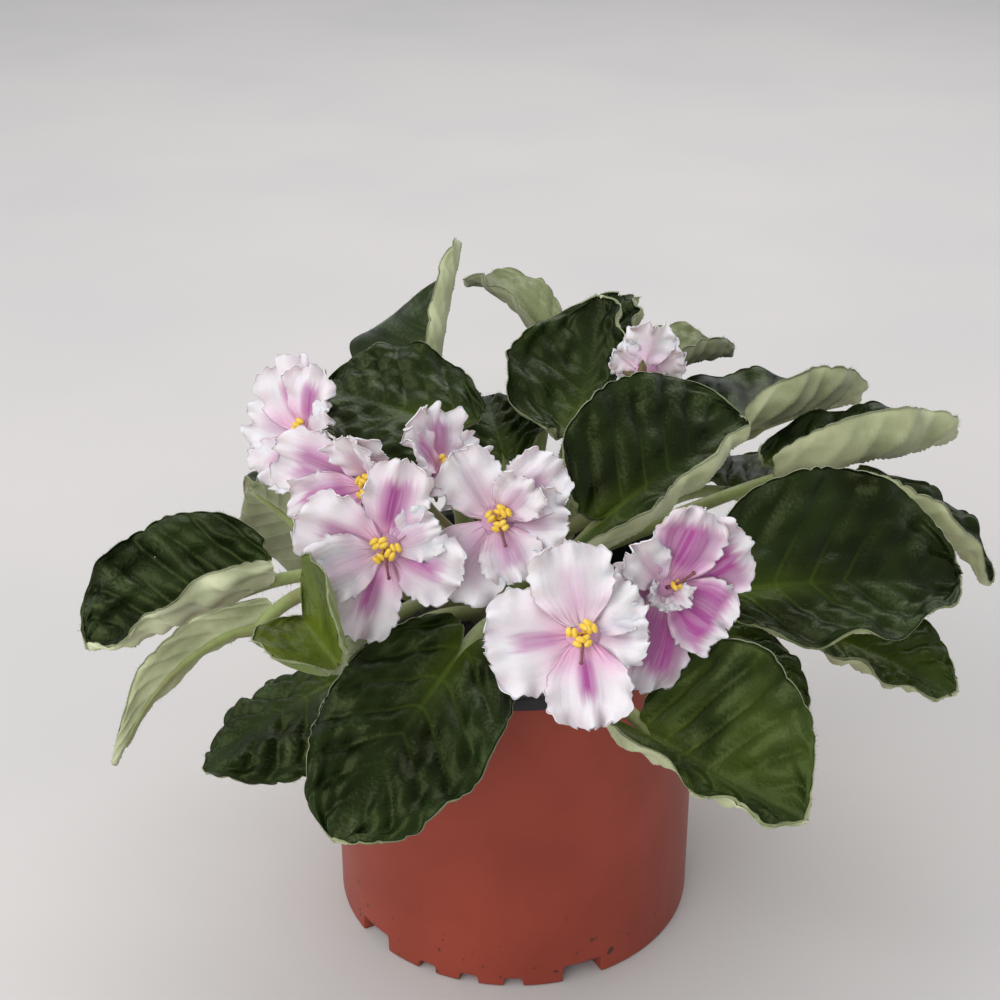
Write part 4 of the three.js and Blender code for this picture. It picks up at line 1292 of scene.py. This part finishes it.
# The blooms, from the left to the right, and last the one behind
BLOOMS = [
    Bloom("bloom_far_left", (-45, -6, 120), (-0.5, -0.65, 0.55), petals((128, 18, 16, 12, 20, 0.8, 0.35),
         (85, 15, 14, 18, 20, 0.9, 0.4), (178, 17, 14, 0, 10, 0.4), (20, 11, 13, 25, 10, 0.2),
         (250, 13, 16, 10, 10, 0.6, 0.5))),
    Bloom("bloom_left", (-29.5, -26, 117.8), (-0.45, -0.8, 0.35), petals((172, 22, 15, 10, 30, 0.8, 0.7),
         (215, 17, 15, 20, 20, 1.0, 0.8), (108, 13, 14, 40, -10, 0.4), (50, 14, 14, 50, -10, 0.45),
         (300, 10, 12, 10, 10, 0.3))),
    Bloom("bloom_front_left", (-26, -42, 112), (0, -0.93, 0.37), petals((77, 18, 14, 12, 20, 1.0, 0.6),
         (160, 18, 16, 10, 10, 0.75, 0.35), (338, 16, 15, 10, 10, 0.8, 0.4),
         (252, 18, 14, 5, 10, 0.95, 0.4), (25, 12, 12, 15, 10, 0.45), (200, 16, 14, 16, 20, 0.4, 0.5))),
    Bloom("bloom_back_left", (-15.5, -20, 118), (0.6, -0.3, 0.7), petals((60, 14, 13, 22, 10, 0.8, 0.6),
         (125, 14, 13, 22, 10, 0.8, 0.6), (195, 12, 13, 22, 10, 0.9, 0.7), (265, 10, 12, 22, 10, 0.9),
         (345, 12, 13, 22, 10, 0.7))),
    Bloom("bloom_middle", (-4, -34, 114), (0.1, -0.83, 0.55), petals((121, 16, 14, 15, 20, 0.3),
         (46, 11, 12, 30, 20, 0.5), (232, 18, 18, 8, 10, 0.45, 0.6), (285, 13, 14, 12, 10, 0.6, 0.6),
         (356, 14, 14, 12, 10, 0.5), (40, 17, 14, 5, 10, 0.65))),
    Bloom("bloom_front", (12, -65, 106), (0, -0.82, 0.57), petals((188, 18, 21, 10, 10, 0.75, 0.24),
         (102, 17, 17, 12, 15, 0.35, 0.4), (48, 13, 14, 10, 10, 0.1), (275, 17, 17, 8, 10, 0.95, 0.26),
         (0, 12, 13, 5, 10, 0.35)), style_turn=265.0),
    Bloom("bloom_front_right", (28.4, -52, 109), (0.2, -0.9, 0.35),
         petals((243, 20, 19, 8, 10, 1.0, 1.25), (318, 14, 16, 20, 10, 1.0, 1.3),
         (26, 18, 17, 12, 20, 1.0, 1.3), (68, 17, 15, 20, 30, 1.0, 1.2), (172, 12, 12, 12, 20, 0.9, 0.8),
         (130, 13, 11, 25, 30, 0.4), (205, 7, 7, 45, 60, 0.3), (310, 6.5, 7, 50, 60, 0.3)),
         anther_pairs=1, style_turn=30.0),
    Bloom("bloom_back", (29, 19, 125), (0.15, 0.95, 0.1), petals((100, 11, 12, 12, 10, 0.5),
         (160, 9.5, 11, 12, 10, 0.5), (30, 8, 10, 12, 10, 0.5), (235, 7, 9, 10, 10, 0.6),
         (300, 7, 9, 10, 10, 0.6))),
]


@dataclass
class Spray(Piece):
    """A flower spray: its stalk, the fork, and for each bloom a short stalk and a green star."""

    first_seed: ClassVar[int] = 500
    name: str
    stalk: Sequence[Point]
    blooms: Sequence[str]
    stalk_radius: float = 1.3
    twig_radius: float = 0.9
    cup_places: tuple[float, ...] = (0.0, 0.6, 1.2, 1.8, 2.2, 2.9)
    cup_radii: tuple[float, ...] = (0.9, 1.2, 1.5, 1.75, 1.8, 1.5)
    cup_seat: float = 3.3
    cup_height: float = 2.2
    sepal_count: int = 5
    sepal_length: float = 4.6
    sepal_half_width: float = 0.9
    sepal_thickness: float = 0.5
    hairs_per_stem: int = 200

    def add_hairy_stem(self, path: Array, radii: Array) -> None:
        """Adds a round stem along a path with these radii, with hairs on it."""
        self.form.add_stem(path, radii, 12, 0)
        self.form.add_hairs_along(path, radii, (0.5, 1.2, self.hairs_per_stem), 0.2, 0.035, 1, self.seed)

    def add_calyx(self, bloom: Bloom, fork: Array) -> None:
        """Adds the short stalk of a bloom, its green cup and the five sepals.

        Args:
            bloom: The bloom that they carry.
            fork: Where the short stalk leaves the spray's stalk.
        """
        forward = bloom.axes()[0]
        seat = np.array(bloom.middle, float) - forward * self.cup_seat
        heel = seat - forward * self.cup_height
        back = heel - forward * 5
        path = bezier([fork, fork + (back - fork) * 0.4 + UP * 1.5, back, heel + forward * 0.8], 24)
        self.add_hairy_stem(path, np.full(24, self.twig_radius))
        self.form.add_stem(heel + np.outer(self.cup_places, forward), np.array(self.cup_radii), 16, 0)
        for number in range(self.sepal_count):
            out = bloom.around(360 / self.sepal_count * number + 18)
            base = seat - forward * 0.9 + out * 0.8
            tip = seat - forward * 0.3 + out * self.sepal_length
            shape = Blade(base, tip, forward, (self.sepal_half_width,) * 2, 0.15, (25,) * 4,
                          (0.1, 2, number), Outline.SEPAL, lobes=(0.0, 0.0))
            along, across = grid(13, 9)
            keel = 0.15 * np.exp(-(across / 0.3) ** 2)
            place = np.stack([along * 0.4 + 0.3, across, np.zeros_like(along)], axis=-1)
            thickness = np.full_like(along, self.sepal_thickness)
            self.form.add_sheet(shape.surface(along, across), thickness, (0 * keel, keel), (2, 2, 2),
                                (place, place), (0, 0, 0))

    def shape(self) -> None:
        """Makes the spray and sets it in its node's place."""
        start, middle, fork = (np.array(point, float) for point in self.stalk)
        handle = 2 * middle - (start + fork) / 2
        path = bezier([start, start + (handle - start) * 2 / 3, fork + (handle - fork) * 2 / 3, fork], 28)
        self.add_hairy_stem(path, np.full(28, self.stalk_radius))
        self.form.add_ball(fork, np.eye(3) * self.stalk_radius * 1.25, 0)
        for bloom in BLOOMS:
            if bloom.name in self.blooms:
                self.add_calyx(bloom, fork)
        self.fit(f"{self.name}_stalks", self.name, "stalk", "spray", "hair", "sepal")


# The flower sprays: foot, middle and fork of the stalk, and the blooms that it carries
SPRAYS = [
    Spray("spray_left", [(-6.1, -4, 89), (-14, -8, 96), (-22, -11, 104)], ["bloom_far_left", "bloom_left"]),
    Spray("spray_middle", [(-2.2, -6.8, 88), (-7, -16, 94), (-10, -20, 101)],
          ["bloom_front_left", "bloom_back_left", "bloom_middle"]),
    Spray("spray_right", [(3.7, -6.1, 88), (9, -18, 92), (15, -30, 97)],
          ["bloom_front", "bloom_front_right"]),
    Spray("spray_back", [(6.2, 2, 92), (12, 7, 103), (20, 12, 113)], ["bloom_back"]),
]


@dataclass(frozen=True)
class Notch:
    """A ring of drainage notches in the pot's foot, at directions in degrees about the pot's axis."""

    turns: tuple[float, ...]
    width: float
    height: float
    depth: float

    def share(self, turns: Array, radius: float) -> Array:
        """Gives how deep in a notch each direction is.

        Args:
            turns: Directions in degrees.
            radius: The foot's radius.

        Returns:
            1 in a notch, 0 outside, and between on its rounded sides.
        """
        offset = np.radians(turns[:, None] - np.array(self.turns))
        distance = np.where(np.cos(offset) > 0, radius * np.abs(np.sin(offset)), radius).min(axis=1)
        return smooth(self.width / 2 + 0.4, self.width / 2 - 0.4, distance)


@dataclass
class Pot(Piece):
    """The thin formed pot with its rolled lip, its foot notches and a drain slot in each wide notch."""

    height: float = 79.0
    lip_radius: float = 45.0
    lip_height: float = 3.6
    wall_radius: float = 42.0
    foot_radius: float = 42.2
    wall: float = 1.2
    mouth_radius: float = 41.4
    wide: Notch = Notch((-140.5, -68.5, 3.5, 75.5, 147.5), 9.2, 4.2, 6.5)
    small: Notch = Notch((-118.5, -104.5, -90.5, 25.5, 39.5, 53.5, 97.5, 111.5, 125.5), 4.0, 2.1, 3.0)
    slot_width: float = 5.0
    slot_depth: float = 2.6
    lip_roll: float = 1.25
    foot_band: float = 7.0
    bottom_radius: float = 32.0
    bend: float = 0.7
    foot_rows: int = 34
    column_step: float = 3.0

    def turns(self) -> Array:
        """Gives the directions of the mesh's columns.

        Returns:
            Them in degrees, closer together at each side of a notch.
        """
        turns = list(np.arange(0, 360, self.column_step))
        for notch in (self.wide, self.small):
            for middle in notch.turns:
                for side in (-1, 1):
                    edge = side * notch.width / 2
                    offsets = edge + np.linspace(-0.5, 0.5, 7)
                    turns += list((middle + np.degrees(np.arcsin(offsets / self.foot_radius))) % 360)
        for middle in self.wide.turns:
            edge = np.degrees(np.arcsin(self.slot_width / 2 / self.foot_radius))
            turns += [(middle - edge) % 360, (middle + edge) % 360]
        turns = np.sort(np.array(turns))
        return turns[np.diff(turns, prepend=-9) > 0.05]

    def foot_path(self, shrink: float, notch: Notch | None) -> Array:
        """Gives the lowest part of the pot's outline.

        Args:
            shrink: How far inside the outer face it lies.
            notch: The notch that it passes through, or none.

        Returns:
            Pairs of radius and height from the wall down to the bottom.
        """
        edge = self.foot_radius - shrink
        low = shrink
        if notch is None:
            corners = [(edge, self.foot_band), (edge, low), (self.bottom_radius, low)]
        else:
            back = self.foot_radius - notch.depth - shrink
            top = notch.height + shrink
            corners = [(edge, self.foot_band), (edge, top), (back, top), (back, low),
                       (self.bottom_radius, low)]
        rounded = [np.array(corners[0], float)]
        for before, corner, after in zip(corners, corners[1:], corners[2:]):
            before, corner, after = (np.array(point, float) for point in (before, corner, after))
            start = corner + unit(before - corner) * self.bend
            end = corner + unit(after - corner) * self.bend
            for share in np.linspace(0, 1, 5):
                rounded.append((1 - share) ** 2 * start + 2 * share * (1 - share) * corner + share ** 2 * end)
        rounded.append(np.array(corners[-1], float))
        rounded = np.array(rounded)
        run = np.concatenate([[0], np.cumsum(np.linalg.norm(np.diff(rounded, axis=0), axis=1))])
        places = np.linspace(0, run[-1], self.foot_rows)
        return np.stack([np.interp(places, run, rounded[:, axis]) for axis in (0, 1)], axis=-1)

    def side(self, upper: Array, shrink: float, turns: Array) -> Array:
        """Gives the points of one face of the pot, from its lip down to the middle of its bottom.

        Args:
            upper: The outline from the lip down to the foot, as pairs of radius and height.
            shrink: How far inside the outer face it lies.
            turns: The directions of the columns.

        Returns:
            The points, in rows round the pot.
        """
        plain = self.foot_path(shrink, None)
        foot = np.repeat(plain[:, None, :], len(turns), axis=1)
        for notch in (self.wide, self.small):
            share = notch.share(turns, self.foot_radius)[None, :, None]
            foot = foot + share * (self.foot_path(shrink, notch) - plain)[:, None, :]
        inner = np.array([(22, shrink), (11, shrink), (1.5, shrink)])
        rows = [np.repeat(part[:, None, :], len(turns), axis=1) for part in (upper, inner)]
        outline = np.concatenate([rows[0], foot, rows[1]])
        return lathe(outline, np.radians(turns))

    def shape(self) -> None:
        """Makes the pot and sets it in its node's place."""
        turns = self.turns()
        # The outline: the lip's two rolls, the step under it, the wall, and the inside
        lip_foot = self.height - self.lip_height
        arc = np.radians(np.linspace(90, -90, 13))
        roll = self.lip_roll
        lip_middle = self.lip_radius - roll
        lip = [(lip_middle + roll * math.cos(a), self.height - roll + roll * math.sin(a)) for a in arc[:7]]
        lip += [(lip_middle + roll * math.cos(a), lip_foot + roll + roll * math.sin(a)) for a in arc[6:]]
        under = [(self.wall_radius + 0.9, lip_foot), (self.wall_radius + 0.35, lip_foot - 0.3),
                 (self.wall_radius + 0.1, lip_foot - 0.9), (self.wall_radius, lip_foot - 2)]
        wall = [(self.wall_radius + 0.2 * share, (lip_foot - 2) * (1 - share) + self.foot_band * share)
                for share in np.linspace(0.06, 0.96, 14)]
        inside = [(self.mouth_radius + 1.0, self.height), (self.mouth_radius + 0.4, self.height - 0.25),
                  (self.mouth_radius, self.height - 1), (self.wall_radius - self.wall, lip_foot - 2),
                  (41, 50), (41, 20)]
        # The outer and the inner face, left open where the drain slots are
        outer = self.side(np.array(lip + under + wall), 0, turns)
        inner = self.side(np.array(inside), self.wall, turns)
        out_net = self.form.add_points(outer)
        in_net = self.form.add_points(inner)
        first_foot = len(lip + under + wall)
        skip = self.slots(outer)
        last_lip = len(lip) + 1
        self.form.add_net(out_net[:last_lip][::-1], 1, ring=True)
        self.form.add_net(out_net[last_lip - 1:][::-1], 0, ring=True, skip=skip[last_lip - 1:][::-1])
        inner_skip = np.zeros((len(inner) - 1, len(turns)), bool)
        inner_skip[len(inside):] = skip[first_foot:]
        self.form.add_net(in_net, 1, ring=True, skip=inner_skip)
        self.form.add_net(np.stack([out_net[0], in_net[0]]), 1, ring=True)
        self.form.add_cap((0, 0, 0), out_net[-1][::-1], 0)
        self.form.add_cap((0, 0, self.wall), in_net[-1], 1)
        self.line_slots(skip[first_foot:], out_net[first_foot:], in_net[len(inside):])
        self.fit("pot_shell", "pot", "pot", "pot_outside", "pot_inside")

    def slots(self, outer: Array) -> Array:
        """Says which of the outer faces lie in a drain slot.

        Args:
            outer: The points of the outer face.

        Returns:
            True for each face in a slot.
        """
        ringed = np.concatenate([outer, outer[:, :1]], axis=1)
        centre = (ringed[:-1, :-1] + ringed[1:, 1:] + ringed[1:, :-1] + ringed[:-1, 1:]) / 4
        radius = np.hypot(centre[..., 0], centre[..., 1])
        turn = np.degrees(np.arctan2(centre[..., 1], centre[..., 0]))
        offset = np.radians(turn[..., None] - np.array(self.wide.turns))
        aside = np.where(np.cos(offset) > 0, radius[..., None] * np.abs(np.sin(offset)), 99).min(axis=-1)
        middle = self.foot_radius - self.wide.depth + self.slot_depth / 2 + 0.6
        roof = np.abs(centre[..., 2] - self.wide.height) < 0.5
        return roof & (aside < self.slot_width / 2) & (np.abs(radius - middle) < self.slot_depth / 2)

    def line_slots(self, skip: Array, outer: Array, inner: Array) -> None:
        """Closes the walls of the drain slots between the outer and the inner face.

        Args:
            skip: True for each face in a slot.
            outer: The numbers of the outer face's points.
            inner: The numbers of the inner face's points.
        """
        count = outer.shape[1]
        walls = []
        for row, column in zip(*np.nonzero(skip)):
            after = (column + 1) % count
            sides = (((row - 1, column), (row, column), (row, after)),
                     ((row + 1, column), (row + 1, after), (row + 1, column)),
                     ((row, column - 1), (row + 1, column), (row, column)),
                     ((row, after), (row, after), (row + 1, after)))
            for beyond, a, b in sides:
                if not skip[beyond]:
                    walls.append([outer[a], outer[b], inner[b], inner[a]])
        if walls:
            self.form.add_faces(np.array(walls)[:, ::-1], 1)


@dataclass
class Soil(Piece):
    """The peat in the pot, with crumbs on it, and a hole that the crown stands in."""

    first_seed: ClassVar[int] = 7
    low: float = 1.5
    foot_radius: float = 34.2
    radius: float = 40.3
    edge_height: float = 68.0
    middle_height: float = 72.0
    flat_radius: float = 24.0
    hole_radius: float = 8.3
    hole_foot: float = 49.7
    bottom_radius: float = 2.0
    ledge_height: float = 5.7
    band_height: float = 60.0
    columns: int = 120
    rings: int = 42
    crumbs: int = 900
    crumb_reach: tuple[float, float] = (10.0, 39.3)
    crumb_sizes: tuple[float, float] = (0.4, 1.1)

    def top(self, radius: Array, angle: Array) -> Array:
        """Gives the height of the soil.

        Args:
            radius: The distance of each point from the pot's axis.
            angle: Its direction about the axis, in radians.

        Returns:
            The height at each point.
        """
        heights = [self.middle_height, self.middle_height - 1, self.edge_height]
        slope = np.interp(radius, [0, self.flat_radius, self.radius], heights)
        bumps = np.sin(radius * 0.9 + 3 * np.sin(angle * 4)) * np.sin(angle * 17 + radius * 0.5)
        return slope - 0.5 + 0.5 * bumps + 0.3 * np.sin(radius * 2.3) * np.sin(angle * 31)

    def shape(self) -> None:
        """Makes the soil and sets it in its node's place."""
        angle = np.linspace(0, 2 * math.pi, self.columns, endpoint=False)
        rings = [(self.hole_radius, self.hole_foot)]
        for radius in np.linspace(self.hole_radius, self.radius, self.rings):
            rings.append((radius, self.top(np.full(self.columns, radius), angle)))
        rings += [(self.radius, self.band_height), (self.radius, self.ledge_height),
                  (self.foot_radius, self.ledge_height), (self.foot_radius, self.low),
                  (self.bottom_radius, self.low)]
        outline = [np.stack(np.broadcast_arrays(radius + 0 * angle, height), axis=-1)
                   for radius, height in rings]
        net = self.form.add_points(lathe(np.array(outline), angle))
        self.form.add_net(net[::-1], 0, ring=True)
        self.form.add_cap((0, 0, self.hole_foot), net[0], 0)
        self.form.add_cap((0, 0, self.low), net[-1][::-1], 0)
        # The crumbs
        for _ in range(self.crumbs):
            radius = math.sqrt(self.seed.uniform(self.crumb_reach[0] ** 2, self.crumb_reach[1] ** 2))
            turn = self.seed.uniform(0, 2 * math.pi)
            height = self.top(np.array([radius]), np.array([turn]))[0]
            centre = np.array([radius * math.cos(turn), radius * math.sin(turn), height + 0.1])
            size = self.seed.uniform(*self.crumb_sizes)
            self.form.add_ball(centre, size * (np.eye(3) + self.seed.normal(0, 0.3, (3, 3))), 0, 4, 6)
        self.fit("soil_bed", "soil", "soil", "soil")


@dataclass
class Crown(Piece):
    """The short thick stem, ringed with the scars of old leaves, and the youngest leaves at its tip."""

    first_seed: ClassVar[int] = 9
    foot: float = 50.0
    top: float = CROWN_TOP
    hairs: int = 500
    tip_leaves: int = 9
    turn_between: float = 137.5
    tip_rows: int = 17
    tip_columns: int = 13
    tip_thickness: float = 0.6
    tip_hairs: int = 60

    def add_tip_leaf(self, number: int) -> None:
        """Adds one of the tiny folded leaves at the growing tip.

        Args:
            number: Its number, from the innermost out.
        """
        turn = math.radians(self.turn_between * number)
        out = np.array([math.cos(turn), math.sin(turn), 0.0])
        size = 4.5 + 0.45 * number
        base = out * (0.7 + 0.3 * number) + (self.top + 0.3 - 0.2 * number) * UP
        tip = base + size * (out * (0.3 + 0.05 * number) + UP * (0.95 - 0.05 * number))
        shape = Blade(base, tip, 0.6 * UP - out, (0.34 * size,) * 2, -0.6, (65,) * 4,
                      (0.15, 2, number), lobes=(0.1, 0.1))
        along, across = grid(self.tip_rows, self.tip_columns)
        points = shape.surface(along, across)
        flat = np.zeros_like(along)
        place = np.stack([along, across * size * 0.3, along * 4], axis=-1)
        upper, normals = self.form.add_sheet(points, flat + self.tip_thickness, (flat, flat), (2, 3, 3),
                                             (place, place), (0, 0, 0))
        rows = self.seed.integers(1, self.tip_rows - 1, self.tip_hairs)
        columns = self.seed.integers(0, self.tip_columns, self.tip_hairs)
        out_of = normals[rows, columns]
        ways = self.seed.normal(0, 0.4, (self.tip_hairs, 3)) - out_of
        self.form.add_hairs(upper[rows, columns] - self.tip_thickness * out_of, ways,
                            self.seed.uniform(0.6, 1.3, self.tip_hairs), 0.035, 1)

    def shape(self) -> None:
        """Makes the crown and sets it in its node's place."""
        buried = np.linspace(self.foot, 78, 36)
        bare = np.linspace(79, self.top, 22)
        heights = np.concatenate([buried, bare, [self.top + 0.9]])
        radii = np.array([crown_radius(height) for height in heights])
        radii = radii * (1 + 0.03 * np.sin(heights * 2.1)) - 0.25
        radii[-1] = 1.5
        path = np.stack([0 * heights, 0 * heights, heights], axis=-1)
        self.form.add_stem(path, radii, 40, 0, np.linspace(0, 1, len(heights)))
        # Hairs on the bare part
        spots = self.seed.uniform(74, self.top, self.hairs)
        turns = self.seed.uniform(0, 2 * math.pi, self.hairs)
        ways = np.stack([np.cos(turns), np.sin(turns), np.full(self.hairs, 0.4)], axis=-1)
        roots = ways * np.interp(spots, heights, radii)[:, None]
        roots[:, 2] = spots
        self.form.add_hairs(roots, ways, self.seed.uniform(0.6, 1.4, self.hairs), 0.04, 1)
        for number in range(self.tip_leaves):
            self.add_tip_leaf(number)
        self.fit("crown_stem", "crown", "stalk", "stalk", "hair", "leaf_young", "leaf_young_under")


@dataclass
class Studio:
    """The floor, the soft lights and the camera."""

    camera_place: Point = (-3.4, -338.0, 269.0)
    camera_pitch: float = 26.3
    focal_pixels: float = 1700.0
    image_pixels: float = 1000.0
    sensor: float = 36.0
    aim: Point = (0.0, 0.0, 90.0)
    lamps: tuple[tuple[str, Point, float, float], ...] = (("window", (-840, -390, 960), 900, 6.2),
                                                          ("sky", (200, 660, 1040), 900, 6.0),
                                                          ("fill", (-260, -640, 420), 500, 2.2))
    room_colour: Colour = (0.86, 0.88, 0.92)
    room_strength: float = 0.74
    floor_reach: float = 4000.0
    floor_drop: float = 0.05

    def build(self, wardrobe: Wardrobe) -> None:
        """Sets up the studio.

        Args:
            wardrobe: The finishes.
        """
        # The floor
        form = Form()
        spread = np.linspace(-self.floor_reach, self.floor_reach, 9)
        across, along = np.meshgrid(spread, spread, indexing="xy")
        form.add_net(form.add_points(np.stack([across, along, 0 * along - self.floor_drop], axis=-1)), 0)
        form.make("floor", wardrobe.take("floor"))
        # The camera
        data = bpy.data.cameras.new("camera")
        data.sensor_width = self.sensor
        data.lens = self.focal_pixels / self.image_pixels * self.sensor
        data.clip_start = 0.01
        camera = bpy.data.objects.new("camera", data)
        camera.location = Vector(self.camera_place) * METRES
        camera.rotation_euler = (math.radians(90 - self.camera_pitch), 0, 0)
        bpy.context.scene.collection.objects.link(camera)
        bpy.context.scene.camera = camera
        # The lamps and the room's own light
        for lamp in self.lamps:
            self.add_lamp(*lamp)
        world = bpy.data.worlds.new("room")
        world.use_nodes = True
        background = world.node_tree.nodes["Background"]
        background.inputs["Color"].default_value = (*self.room_colour, 1)
        background.inputs["Strength"].default_value = self.room_strength
        bpy.context.scene.world = world
        bpy.context.scene.view_settings.view_transform = "Standard"
        LOG.info("studio: floor, camera and %d lamps", len(self.lamps))

    def add_lamp(self, name: str, place: Point, size: float, power: float) -> None:
        """Adds a square soft lamp that points at the plant.

        Args:
            name: The lamp's name.
            place: Where it stands.
            size: How wide it is.
            power: How strong it is, in watts.
        """
        data = bpy.data.lights.new(name, "AREA")
        data.size = size * METRES
        data.energy = power
        lamp = bpy.data.objects.new(name, data)
        lamp.location = Vector(place) * METRES
        towards = Vector(self.aim) * METRES - lamp.location
        lamp.rotation_euler = towards.to_track_quat("-Z", "Y").to_euler()
        bpy.context.scene.collection.objects.link(lamp)


def main() -> None:
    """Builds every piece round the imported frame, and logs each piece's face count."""
    logging.basicConfig(level=logging.INFO, format="%(message)s")
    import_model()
    wardrobe = Wardrobe()
    Studio().build(wardrobe)
    Pot().build(wardrobe)
    Soil().build(wardrobe)
    Crown().build(wardrobe)
    for pieces in (LEAVES, SPRAYS, BLOOMS):
        for number, piece in enumerate(pieces):
            piece.build(wardrobe, number)


if __name__ == "__main__":
    main()
